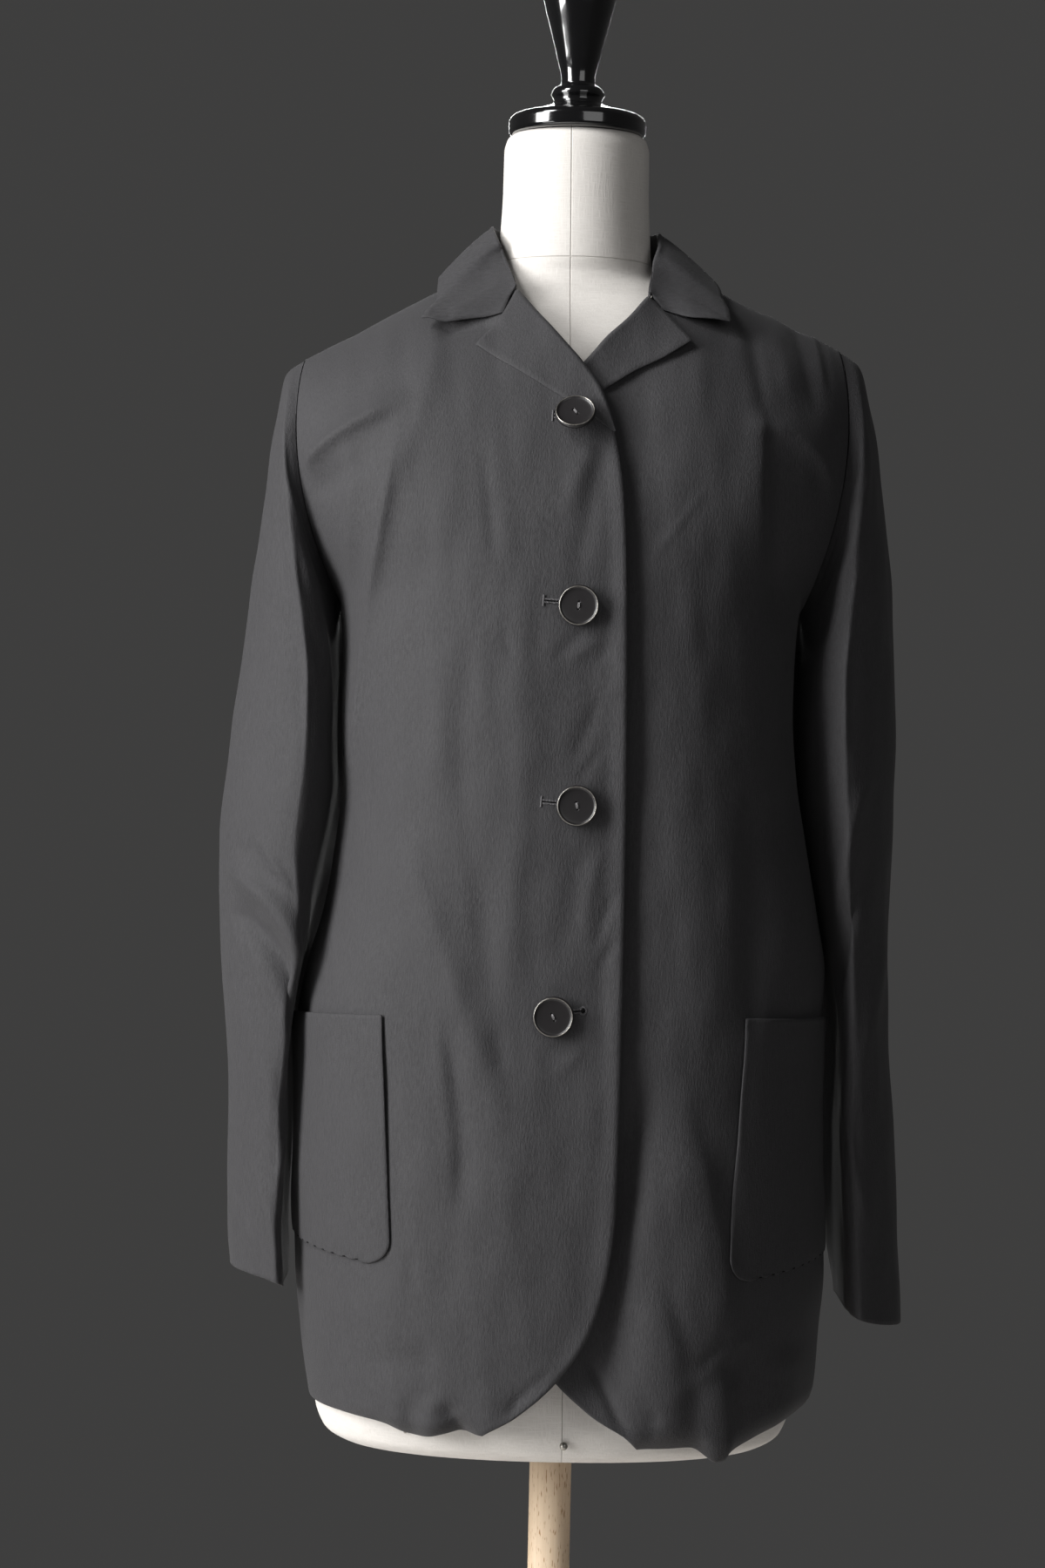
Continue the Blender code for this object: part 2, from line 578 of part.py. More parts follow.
def body_point(side, face, t, row):
    """A point of the body cloth: t runs from the centre line (0) to the side seam or armhole
    (1), and below 0 it crosses over to the other side. row is 0 at the hem, 1 at the underarm
    and 2 at the shoulder seam.
    """
    t = np.asarray(t, float)
    row = np.asarray(row, float)
    centre_z = centre_height(row)
    full_turn = np.radians(read(ROWS, ROW_COLUMNS, "turn", row))
    square = read(ROWS, ROW_COLUMNS, "square", row)
    depth = read(BODY, BODY_COLUMNS, face, centre_z)

    loop_angle = 180 * np.clip(2 - row, 0, 1)
    if face == "back":
        loop_angle = -loop_angle
    loop_x, loop_y, loop_z = arm_loop(side, loop_angle)
    low = row <= 1
    end_x = np.where(low, read(BODY, BODY_COLUMNS, "half_" + side, centre_z), np.abs(loop_x))
    end_y = np.where(low, read(BODY, BODY_COLUMNS, "seam_y", centre_z), loop_y)
    end_z = np.where(low, centre_z, loop_z)

    turn = np.abs(t) * full_turn
    across, forward = superellipse(turn, square)
    across_end, forward_end = superellipse(full_turn, square)
    share = across / across_end
    sign = -1 if face == "front" else 1
    x = SIDES[side] * np.sign(t) * end_x * share
    y = sign * depth + (end_y - sign * depth) * (1 - forward) / (1 - forward_end)
    z = centre_z + (end_z - centre_z) * share
    near_hem = np.clip(1 - row / HEM_REACH, 0, 1) ** 2
    if face == "front":
        z = z + (read(HEM, HEM_COLUMNS, "z", x) - HEM_Z) * near_hem
    else:
        z = z + BACK_HEM_RISE * share ** 4 * near_hem
    return np.stack(np.broadcast_arrays(x, y, z), axis=-1)


def t_at_x(side, x, row):
    """How far across a row the cloth reaches a given x."""
    full_turn = np.radians(read(ROWS, ROW_COLUMNS, "turn", row))
    square = read(ROWS, ROW_COLUMNS, "square", row)
    end_x = np.abs(body_point(side, "front", 1.0, row)[..., 0])
    share = np.clip(np.abs(x) / end_x, 0, 1)
    turn = np.arcsin(np.clip(np.sin(full_turn) * share ** (square / 2), 0, 1))
    return np.sign(x * SIDES[side]) * turn / full_turn


def front_at(side, x, z):
    """The smooth front seen at (x, z) from the front, by halving the rows between hem and
    shoulder."""
    low = np.zeros(np.shape(x))
    high = np.full(np.shape(x), 2.0)
    for _ in range(HALVINGS):
        middle = (low + high) / 2
        point = body_point(side, "front", t_at_x(side, x, middle), middle)
        under = point[..., 2] < z
        low = np.where(under, middle, low)
        high = np.where(under, high, middle)
    return body_point(side, "front", t_at_x(side, x, low), low)


def on_front(side, x, z, rise):
    """Points laid on a front, its folds included, moved out by rise, and how they face."""
    x = np.asarray(x, float)
    z = np.asarray(z, float)
    tiny = 1.0e-3
    point = front_at(side, x, z)
    beside = front_at(side, x + tiny, z) - front_at(side, x - tiny, z)
    above = front_at(side, x, z + tiny) - front_at(side, x, z - tiny)
    normal = np.cross(beside, above)
    normal = normal / np.linalg.norm(normal, axis=-1, keepdims=True)
    height = front_folds(side, point) + rise
    return point + normal * height[..., None], normal


def fold_height(panel, points):
    """How far the large folds push each point of a panel outwards."""
    x = points[..., 0]
    z = points[..., 2]
    total = np.zeros(x.shape)
    for fold in named(FOLDS, FOLD_COLUMNS):
        if fold.panel != panel:
            continue
        run_x, run_z = fold.x1 - fold.x0, fold.z1 - fold.z0
        length = math.hypot(run_x, run_z)
        along = ((x - fold.x0) * run_x + (z - fold.z0) * run_z) / length ** 2
        aside = ((x - fold.x0) * run_z - (z - fold.z0) * run_x) / length
        aside = aside - fold.bend * np.sin(np.pi * np.clip(along, 0, 1))
        fade = smooth_step(along, -0.15, 0.2) * (1 - smooth_step(along, 0.75, 1.15))
        total += fold.height * np.exp(-(aside / fold.width) ** 2) * fade
    return total


def seam_fade(share):
    """Folds die away at the side seams and armholes, so neighbours keep the same line."""
    return 1 - smooth_step(share, 0.86, 1.0)


def front_folds(side, points):
    """Folds of a front and, on the left one, the step that takes it under the right one."""
    height = fold_height("front_" + side, points)
    if side == "left":
        under = smooth_step(-points[..., 0], -0.085, -0.020)
        level = 1 - smooth_step(points[..., 2], BREAK_Z - 0.01, BREAK_Z + 0.05)
        height = height - OVERLAP_STEP * under * level
    return height


def front_grid(side, across, down):
    """Outer points of a front, rows from the shoulder seam down to the hem."""
    rows = row_spacing(down)[::-1][:, None]
    edge_sign = 1 if side == "right" else -1
    edge_t = np.zeros_like(rows)
    edge_z = centre_height(rows)
    for _ in range(EDGE_ROUNDS):
        edge_x = edge_sign * read(FRONT_EDGE, FRONT_EDGE_COLUMNS, "x", edge_z)
        edge_t = t_at_x(side, edge_x, rows)
        edge_z = 0.5 * edge_z + 0.5 * body_point(side, "front", edge_t, rows)[..., 2]
    share = np.linspace(0, 1, across)[None, :]
    seam_t = 1 - SIDE_SEAM / 2 / PANEL_WIDTH
    t = edge_t + (seam_t - edge_t) * share
    grid = body_point(side, "front", t, np.broadcast_to(rows, t.shape))
    normal = normals_of(grid) * (1 if side == "right" else -1)
    folds = front_folds(side, grid) * seam_fade(share)
    return grid + normal * folds[..., None], normal


def row_spacing(down):
    """Row numbers from hem to shoulder, closer together round the armhole."""
    low = int(round((down - 1) * LOWER_ROWS))
    return np.concatenate([np.linspace(0, 1, low, endpoint=False),
                           np.linspace(1, 2, down - low)])


def back_grid(across, down):
    """Outer points of the back, rows from the neckline and shoulder seams down to the hem."""
    rows = row_spacing(down)[::-1]
    share = np.linspace(-1, 1, across)
    seam_t = 1 - SIDE_SEAM / 2 / PANEL_WIDTH
    grid = np.zeros((down, across, 3))
    for c, t in enumerate(share):
        side = "left" if t >= 0 else "right"
        top = neck_top_row(side, abs(t))
        grid[:, c] = body_point(side, "back", abs(t) * seam_t, rows * top / 2)
    normal = normals_of(grid)
    folds = fold_height("back", grid) * seam_fade(np.abs(share))[None, :]
    return grid + normal * folds[..., None], normal


def neck_top_row(side, t):
    """The row where the back ends: the shoulder seam, or the neckline nearer the centre."""
    x = abs(body_point(side, "back", t, 2.0)[0])
    inside = max(0.0, 1 - (x / NECK_POINT_X) ** 2.4)
    return 2.0 - BACK_NECK_DIP * inside ** 0.5


def sleeve_grid(side, around, down):
    """Outer points of a sleeve, rings from the armhole down to the cuff."""
    count = len(SLEEVES[side]) - 1
    rings = np.concatenate([np.linspace(0, ARMHOLE_RINGS, down // 3, endpoint=False),
                            np.linspace(ARMHOLE_RINGS, count, down - down // 3)])[:, None]
    angle = np.linspace(0, 360, around, endpoint=False)[None, :]
    x, y, z = sleeve_ring(side, np.broadcast_to(rings, (down, around)), angle)
    grid = np.stack([x, y, z], axis=-1)
    normal = normals_of(grid, closed=True) * SIDES[side]
    height = np.zeros((down, around))
    for fold in named(SLEEVE_FOLDS, SLEEVE_FOLD_COLUMNS):
        if fold.side != side:
            continue
        along = (rings - fold.ring0) / (fold.ring1 - fold.ring0)
        middle = fold.angle0 + (fold.angle1 - fold.angle0) * np.clip(along, 0, 1)
        aside = (angle - middle + 180) % 360 - 180
        fade = smooth_step(along, -0.35, 0.25) * (1 - smooth_step(along, 0.7, 1.35))
        height += fold.height * np.exp(-(aside / fold.spread) ** 2) * fade
    inner_side = smooth_step(np.cos(np.radians(angle)), -0.98, -0.6)
    height *= inner_side * smooth_step(rings, 0.0, 1.0)
    return grid + normal * height[..., None], normal


# ---------------------------------------------------------------- the pieces
def inner_points(outer, normal):
    return outer - normal * CLOTH


def build_sleeve(side, cloth):
    outer, normal = sleeve_grid(side, SLEEVE_ROUND, SLEEVE_DOWN)
    outer[0, :, 0] += SIDES[side] * SEAM_STEP
    inner = inner_points(outer, normal)
    # the seam allowance never reaches back over the armhole
    out = SIDES[side]
    inner[0, :, 0] = out * np.maximum(out * inner[0, :, 0], out * outer[0, :, 0])
    return wall("sleeve_" + side, outer, inner, cloth, closed=True)


def build_front(side, cloth):
    outer, normal = front_grid(side, FRONT_ACROSS, FRONT_DOWN)
    outer[0, :, 1] -= SEAM / 2
    inner = inner_points(outer, normal)
    inner[0, :, 1] = np.minimum(inner[0, :, 1], outer[0, :, 1])
    below = row_spacing(FRONT_DOWN)[::-1] <= 1.0
    inner[below, -1, 1] = np.minimum(inner[below, -1, 1], outer[below, -1, 1])
    return wall("front_" + side, outer, inner, cloth)


def build_back(cloth):
    outer, normal = back_grid(BACK_ACROSS, BACK_DOWN)
    outer[0, :, 1] += SEAM / 2
    inner = inner_points(outer, normal)
    inner[0, :, 1] = np.maximum(inner[0, :, 1], outer[0, :, 1])
    below = row_spacing(BACK_DOWN)[::-1] <= 1.0
    for end in (0, -1):
        inner[below, end, 1] = np.maximum(inner[below, end, 1], outer[below, end, 1])
    return wall("back", outer, inner, cloth)


def surface_of(pieces):
    """The outside of some pieces, to lay others on."""
    points = []
    faces = []
    for piece in pieces:
        start = len(points)
        points += [v.co.copy() for v in piece.data.vertices]
        faces += [[start + k for k in face.vertices] for face in piece.data.polygons]
    return BVHTree.FromPolygons(points, faces)


def lift(grid, surface, clearance):
    """Move the points that lie closer than clearance to a surface out to that distance."""
    lifted = grid.copy()
    for r in range(grid.shape[0]):
        for c in range(grid.shape[1]):
            point = Vector(grid[r, c])
            for _ in range(2):
                place, normal, _, _ = surface.find_nearest(point)
                height = (point - place).dot(normal)
                if height < clearance:
                    point = point + normal * (clearance - height)
            lifted[r, c] = point
    return lifted


def collar_stations(side):
    """Corner points of the collar from the middle of the back to its front end."""
    rows = COLLAR[side]
    last = len(rows) - 2
    index = np.arange(len(rows))
    places = np.concatenate([np.linspace(0, last, COLLAR_STEPS),
                             np.linspace(last, last + 1, COLLAR_END_STEPS)[1:]])
    spots = {}
    for name in COLLAR_COLUMNS:
        value = column(rows, COLLAR_COLUMNS, name)
        smooth = hermite(index[:-1], value[:-1], np.minimum(places, last))
        straight = np.interp(places, index, value)
        spots[name] = np.where(places <= last, smooth, straight)
        if name.endswith("_x"):
            spots[name] = spots[name] * SIDES[side]
    return {spot: np.stack([spots[spot + axis] for axis in ("_x", "_y", "_z")], axis=-1)
            for spot in ("seam", "fold", "edge")}


def collar_grid():
    """Points of the collar's middle layer, from its seam over the fold to its outer edge."""
    halves = {side: collar_stations(side) for side in SIDES}
    line = {spot: np.concatenate([halves["right"][spot][:0:-1], halves["left"][spot]])
            for spot in ("seam", "fold", "edge")}
    rows = []
    for part in named(COLLAR_SECTION, COLLAR_SECTION_COLUMNS):
        stand = line["seam"] * (1 - part.from_seam) + line["fold"] * part.from_seam
        row = stand + (line["edge"] - line["fold"]) * part.from_fold
        row[:, 2] += part.rise
        rows.append(row)
    return np.stack(rows)


def build_collar(cloth, panels):
    middle = collar_grid()
    for r, part in enumerate(named(COLLAR_SECTION, COLLAR_SECTION_COLUMNS)):
        stands_off = COLLAR_LIFT if part.from_fold > COLLAR_LIFT_FROM else 0.0
        clearance = CLOTH / 2 + LAID_ON + stands_off
        middle[r:r + 1] = lift(middle[r:r + 1], panels, clearance)
    normal = normals_of(middle)
    half = normal * CLOTH / 2
    return wall("collar", middle + half, middle - half, cloth)


def build_lapel(side, cloth):
    spots = {name: np.array(place) for name, place in LAPELS[side].items()}
    grid = np.zeros((LAPEL_ALONG, LAPEL_ACROSS, 2))
    rise = np.zeros((LAPEL_ALONG, LAPEL_ACROSS))
    for r, q in enumerate(np.linspace(0, 1, LAPEL_ALONG)):
        inner = spots["break"] * (1 - q) + spots["roll"] * q
        outer = spots["foot"] * (1 - q) + spots["tip"] * q
        for c, a in enumerate(np.linspace(0, 1, LAPEL_ACROSS)):
            straight = spots["roll"] * (1 - a) + spots["tip"] * a
            if a < 0.5:
                top = spots["roll"] * (1 - 2 * a) + spots["notch"] * 2 * a
            else:
                top = spots["notch"] * (2 - 2 * a) + spots["tip"] * (2 * a - 1)
            grid[r, c] = inner * (1 - a) + outer * a + (top - straight) * q ** 3
            rise[r, c] = LAPEL_ROLL * math.sin(math.pi * min(1.0, a * 1.6)) + LAPEL_LIFT * a
    under, normal = on_front(side, grid[..., 0], grid[..., 1], LAID_ON + rise)
    return wall("lapel_" + side, under + normal * CLOTH, under, cloth)


def build_pocket(pocket, cloth):
    side, corner = pocket.side, pocket.corner
    corner_top = pocket.bottom_z + corner
    round_part = np.sin(np.linspace(0, math.pi / 2, POCKET_CORNER))
    down = np.concatenate([np.linspace(pocket.top_z, corner_top, POCKET_DOWN - POCKET_CORNER,
                                       endpoint=False),
                           corner_top - corner * round_part])
    into_corner = np.clip(corner_top - down, 0, corner)
    inset = corner - np.sqrt(corner ** 2 - into_corner ** 2)
    rows = (down - HEM_Z) / (UNDERARM_Z - HEM_Z)
    grid = np.zeros((len(down), POCKET_ACROSS, 3))
    for r, row in enumerate(rows):
        inner_x = pocket.inner_x + SIDES[side] * inset[r]
        inner_t = float(t_at_x(side, inner_x, row))
        outer_t = pocket.outer_t - inset[r] / PANEL_WIDTH
        t = np.linspace(inner_t, outer_t, POCKET_ACROSS)
        grid[r] = body_point(side, "front", t, np.full(POCKET_ACROSS, row))
    normal = normals_of(grid) * (1 if side == "right" else -1)
    under = grid + normal * (front_folds(side, grid) + LAID_ON)[..., None]
    return wall("pocket_" + side, under + normal * CLOTH, under, cloth)


def build_button(button, shell):
    place, normal = on_front("right", button.x, button.z, LAID_ON)
    turn = Vector((0, 0, 1)).rotation_difference(Vector(normal))
    pose = turn.to_matrix().to_4x4()
    pose.translation = Vector(place)
    profile = [(radius * BUTTON_RADIUS, z * BUTTON_THICK) for radius, z in BUTTON_PROFILE]
    return turned("button_%d" % button.number, profile, BUTTON_ROUND, shell, pose)


def build_form(linen):
    rings = np.zeros((len(FORM), FORM_ROUND, 3))
    turn = 2 * np.pi * np.arange(FORM_ROUND) / FORM_ROUND
    for r, ring in enumerate(named(FORM, FORM_COLUMNS)):
        across, forward = superellipse(turn, ring.square)
        depth = np.where(np.cos(turn) > 0, -ring.front, ring.back)
        rings[r] = np.stack([ring.half * across * np.sign(np.sin(turn)), depth * forward,
                             np.full(FORM_ROUND, ring.z)], axis=-1)
    return stack("form", rings, linen)


def build_stand(beech):
    turned("base", BASE, BASE_ROUND, beech)
    top = named(FORM, FORM_COLUMNS)[0].z - SEAM
    foot = named(BASE, PROFILE_COLUMNS)[-1].z + SEAM
    pole = ((0.0, foot), (POLE_RADIUS, foot), (POLE_RADIUS, top), (0.0, top))
    turned("pole", pole, POLE_ROUND, beech)


def clear_old_scene():
    for old in list(bpy.data.objects):
        bpy.data.objects.remove(old, do_unlink=True)


def main():
    clear_old_scene()
    crepe = finish("charcoal_crepe", "#2E2D2F", 0.62)
    horn = finish("black_polyester_button", "#141314", 0.22)
    linen = finish("warm_white_linen", "#E6E2DF", 0.85)
    lacquer = finish("black_lacquered_wood", "#0B0B0C", 0.12)
    beech = finish("pale_beech", "#D9C2A6", 0.45)

    panels = [build_front("right", crepe), build_front("left", crepe), build_back(crepe)]
    for side in SIDES:
        build_sleeve(side, crepe)
        panels.append(build_lapel(side, crepe))
    build_collar(crepe, surface_of(panels))
    for pocket in named(POCKETS, POCKET_COLUMNS):
        build_pocket(pocket, crepe)
    for button in named(BUTTONS, BUTTON_COLUMNS):
        build_button(button, horn)
    build_form(linen)
    turned("neck_cap", CAP, CAP_ROUND, lacquer)
    build_stand(beech)


main()
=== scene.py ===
"""The looks of a women's charcoal crepe blazer on a limbless linen dress form.

Metres, +Z up. X runs to the viewer's right, -Y faces the viewer, and the wearer's right is at
-X. Each piece of cloth is a thin shell on the form of its solid, with its creases in real sizes.
"""
import math
from collections import namedtuple

import bmesh
import bpy
import numpy as np
from mathutils import Matrix, Vector
from mathutils.bvhtree import BVHTree


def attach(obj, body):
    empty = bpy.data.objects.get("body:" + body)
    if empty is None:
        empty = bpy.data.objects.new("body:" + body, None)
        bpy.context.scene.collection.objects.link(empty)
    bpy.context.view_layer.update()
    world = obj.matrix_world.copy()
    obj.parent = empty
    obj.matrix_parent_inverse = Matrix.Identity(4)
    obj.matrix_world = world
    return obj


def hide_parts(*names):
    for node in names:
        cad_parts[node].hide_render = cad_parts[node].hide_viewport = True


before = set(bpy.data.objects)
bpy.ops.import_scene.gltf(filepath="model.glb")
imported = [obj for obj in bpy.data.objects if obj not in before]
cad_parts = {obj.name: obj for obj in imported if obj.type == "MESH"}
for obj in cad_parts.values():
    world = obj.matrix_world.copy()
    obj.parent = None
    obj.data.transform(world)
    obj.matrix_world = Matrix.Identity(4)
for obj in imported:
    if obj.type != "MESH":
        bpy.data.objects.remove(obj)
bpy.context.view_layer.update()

MM = 0.001
SIDES = {"right": -1, "left": 1}    # the wearer's sides, as signs of X

# Columns of the tables that hold no length. All the others are in millimetres.
PLAIN = set("side name number row turn square pinch skew crisp count phase angle0 ring0 angle1 "
            "ring1 spread tip towards holes eyelet outer_t q power".split())


def table(columns, rows):
    """The rows of a table as records under its columns' names, with their lengths in metres."""
    record = namedtuple("record", columns)
    return [record(*(value if name in PLAIN else value * MM
                     for name, value in zip(record._fields, row))) for row in rows]


def tables(columns, groups):
    return {key: table(columns, rows) for key, rows in groups.items()}


# ---------------------------------------------------------------- the view
CAMERA_DISTANCE = 2.4
CAMERA_PLACE = (-0.0277, -CAMERA_DISTANCE, 1.062)
CAMERA_ROLL = 1.153                 # degrees
FRAME_HEIGHT = 1.044                # what the picture takes in, top to bottom, at the pole
SENSOR = 36.0

# ---------------------------------------------------------------- the garment's sizes
CLOTH = 1.2 * MM            # crepe with its backing
LAID_ON = 0.7 * MM          # gap under a pocket, a lapel or a button
SEAM = 0.3 * MM             # gap between pieces that are sewn together
SIDE_SEAM = 0.45 * MM
SEAM_STEP = 0.5 * MM        # how far a sleeve starts outside the armhole it is set into
UNDERARM_Z = 1.178          # bottom of the armhole
NECK_POINT_X = 0.060        # shoulder seam ends here, at the side of the neck
BACK_NECK_DIP = 0.105       # rows by which the back neckline dips in its middle
PANEL_WIDTH = 0.25          # about how far a front or half the back reaches across
SEAM_T = 1 - SIDE_SEAM / 2 / PANEL_WIDTH    # where a panel ends beside its side seam
OVERLAP_STEP = 6.5 * MM     # the left front lies this much deeper under the right one
STEP_FROM_X, STEP_TO_X = 0.085, 0.020   # between these it steps down
BREAK_Z = 1.322             # the lapels start to turn here
HEM_Z = 0.647
HEM_REACH = 0.3             # rows over which the hem's own line dies away
BACK_HEM_RISE = 0.010
FRONT_ACROSS = 110          # points across, around and down the panels
FRONT_DOWN = 300
BACK_ACROSS = 150
BACK_DOWN = 220
SLEEVE_ROUND = 132
SLEEVE_DOWN = 240
LOWER_ROWS = 0.66           # share of a panel's rows that lies under the armhole
ARMHOLE_RINGS = 4           # a third of a sleeve's points lies on its first rings
SLEEVE_GIRTH = 0.348
RING_STEP = 0.055           # about how far one ring is from the next
UNDERARM_REACH = 0.24       # rows over which the cloth runs on past the start of the armhole
UNDERARM_ROUNDS = 300
HALVINGS = 26
EDGE_ROUNDS = 14

# ---------------------------------------------------------------- sizes and steps of the pieces
ASIDE_FROM = (0.83, 0.21, 0.52)     # no thread runs this way
RIM_ROUND = 0.35            # how far a rim bulges, in parts of the wall
COLLAR_CLOTH = 1.6 * MM
COLLAR_STEPS = 60
COLLAR_END_STEPS = 24
COLLAR_STAND_ROWS = 8
COLLAR_ROLL_ROWS = 8
COLLAR_FALL_ROWS = 16
COLLAR_ROLL = 3.2 * MM
COLLAR_SWELL = 1.6 * MM
COLLAR_EASE = 4
LAPEL_ALONG = 60
LAPEL_ACROSS = 36
LAPEL_ROLL_STEPS = 8
LAPEL_ROLL_RADIUS = 2.0 * MM
LAPEL_RISE = 2.4 * MM
LAPEL_CLOTH = 1.0 * MM
LAPEL_GAP = 0.25 * MM
LAPEL_LEVEL = 0.8 * MM
LAPEL_START = 0.03
NOTCH_AT = 0.42
ROLL_TUCK = 1.6 * MM        # how far a front's edge hides in the lapel's roll, above the break
ROLL_TUCK_Z = (1.285, 1.305)
COLLAR_TIP = 6              # the row of the collar's table at its pointed corner
COLLAR_TIP_LIFT = 9.0 * MM
COLLAR_FOLD_RISE = 2.6 * MM
POCKET_ACROSS = 60
POCKET_DOWN = 80
POCKET_CORNER = 16
POCKET_ROUND = 15 * MM
POCKET_BULGE = 1.7 * MM
POCKET_GAPE = 0.8 * MM      # how far the mouth's middle stands off
POCKET_CORNER_LIFT = 2.0 * MM
POCKET_EDGE_LIFT = 1.1 * MM
PRICK_GAP = 10 * MM         # prick stitches along the bottom of a pocket
PRICK_DEPTH = 0.5 * MM
PRICK_LENGTH = 2.2 * MM
PRICK_RADIUS = 0.34 * MM
BUTTON_FACE = (     # radius and height in millimetres, from the middle of the back to the front
    (0, 0), (10.8, 0), (12.3, 0.35), (12.9, 1.05), (13.05, 1.8), (12.95, 2.6), (12.6, 3.25),
    (12.1, 3.55), (11.6, 3.45), (11.2, 3.1), (10.9, 2.85), (10.4, 2.72), (9, 2.62), (7.5, 2.55),
    (6, 2.5), (5, 2.48), (4.4, 2.47), (3.9, 2.46), (3.5, 2.45), (3.2, 2.45), (2.95, 2.44),
    (2.7, 2.44), (2.45, 2.44), (2.2, 2.43), (1.95, 2.43), (1.7, 2.43), (1.45, 2.43), (1.2, 2.43),
    (0.95, 2.43), (0.65, 2.43), (0.35, 2.43), (0, 2.43),
)
BUTTON_ROUND = 96
BUTTON_RING = 12.05 * MM
BUTTON_RING_Z = 3.42 * MM
BUTTON_RING_WIRE = 0.34 * MM
BUTTON_DISH = 2.43 * MM
BUTTON_HOLE_FLOOR = 1.1 * MM
BUTTON_HOLES_APART = 4.2 * MM
THREAD_STRANDS = 3
THREAD_RADIUS = 0.20 * MM
THREAD_GAP = 0.38 * MM      # from one strand to the next
THREAD_ARCH = 0.55 * MM     # how high the strands stand over the dish
THREAD_DROP = 1.1 * MM      # how far they go down into the holes
SHANK_RADIUS = 1.0 * MM     # of the thread between a button and its cloth
HOLE_RADII = (0.55 * MM, 0.90 * MM)     # of a button's hole, at its floor and at its mouth
HOLE_GAUGE = 0.75 * MM      # from one stitch of a buttonhole to the next
TACK_GAUGE = 0.55 * MM      # the same in its bar tack, whose stitches reach as far on each side
TACK_STITCHES = 13
SLIT_RADIUS = 0.42 * MM
STITCH_RADIUS = 0.27 * MM
STITCH_RISE = 0.12 * MM
EYELET_STITCHES = 18
EYELET_RADIUS = 1.6 * MM
POLE_RADIUS = 13.9 * MM
FORM_ROUND = 160
PIN_ROWS = 14
CREPE_PEBBLE = 0.8 * MM
CREPE_STREAK = (1.1 * MM, 4.5 * MM)     # its thickness and its length along the warp

# Studio lamps: large soft boxes, all aimed at the middle of the blazer.
LIT_PLACE = (0.0, 0.0, 0.95)
SOFT_BOXES = table("name x y z width height power", (
    ("window_left", -2300, -1250, 1750, 1100, 1700, 120),
    ("low_left", -1900, -1400, 350, 900, 900, 9),
    ("top_left", -1300, -900, 2700, 600, 600, 25),
    ("fill_front", 1200, -2500, 1900, 1600, 1600, 10.5),
    ("behind", 0, 2800, 1600, 500, 1600, 43),
))
WORLD_STRENGTH = 0.055
FLOOR_RADIUS = 1.4

# Closed part of the body cloth. half_* is half the width on each side, front and back are the
# depths on the centre line, and seam_y is where the side seam runs.
BODY = table("z half_right half_left front back seam_y", (
    (630, 159, 170, 133, 118, 12), (660, 164, 174, 138, 123, 12), (700, 169, 176.5, 139, 124, 12),
    (740, 173, 179.5, 138.5, 123.5, 12), (800, 174.5, 176.5, 137, 121.5, 12),
    (860, 173.5, 174.5, 135, 118, 12), (905, 174.5, 175, 133.5, 114, 10),
    (940, 168.5, 175.5, 132.5, 110, 6), (980, 157.5, 169, 131.5, 106, 0),
    (1025, 150.5, 160.5, 131, 103.5, -4), (1070, 146.5, 153, 131, 102, -6),
    (1120, 148, 150, 131.5, 103.5, -4), (1178, 149, 153, 130.5, 107, 4),
    (1215, 150, 154, 128.5, 109, 4), (1255, 150, 154, 123.5, 110, 4),
    (1300, 150, 154, 112.5, 107, 4), (1340, 150, 154, 97, 99, 4), (1380, 150, 154, 72, 84, 4),
    (1405, 150, 154, 51, 67, 4), (1422, 150, 154, 33, 51, 4), (1434, 150, 154, 12, 33, 4),
    (1440, 150, 154, -12, 12, 4),
))

# Rows of the cloth from the hem (0) past the underarm (1) to the shoulder seam (2): the height
# of each on the centre line, how far round it turns by its end, and how square it is.
ROWS = table("row centre_z turn square", (
    (0, 647, 90, 2.3), (1, 1178, 90, 2.35), (1.2, 1212, 74, 2.35), (1.5, 1275, 62, 2.3),
    (1.75, 1347, 60, 2.15), (1.88, 1403, 59, 2.08), (2, 1440, 58, 2),
))

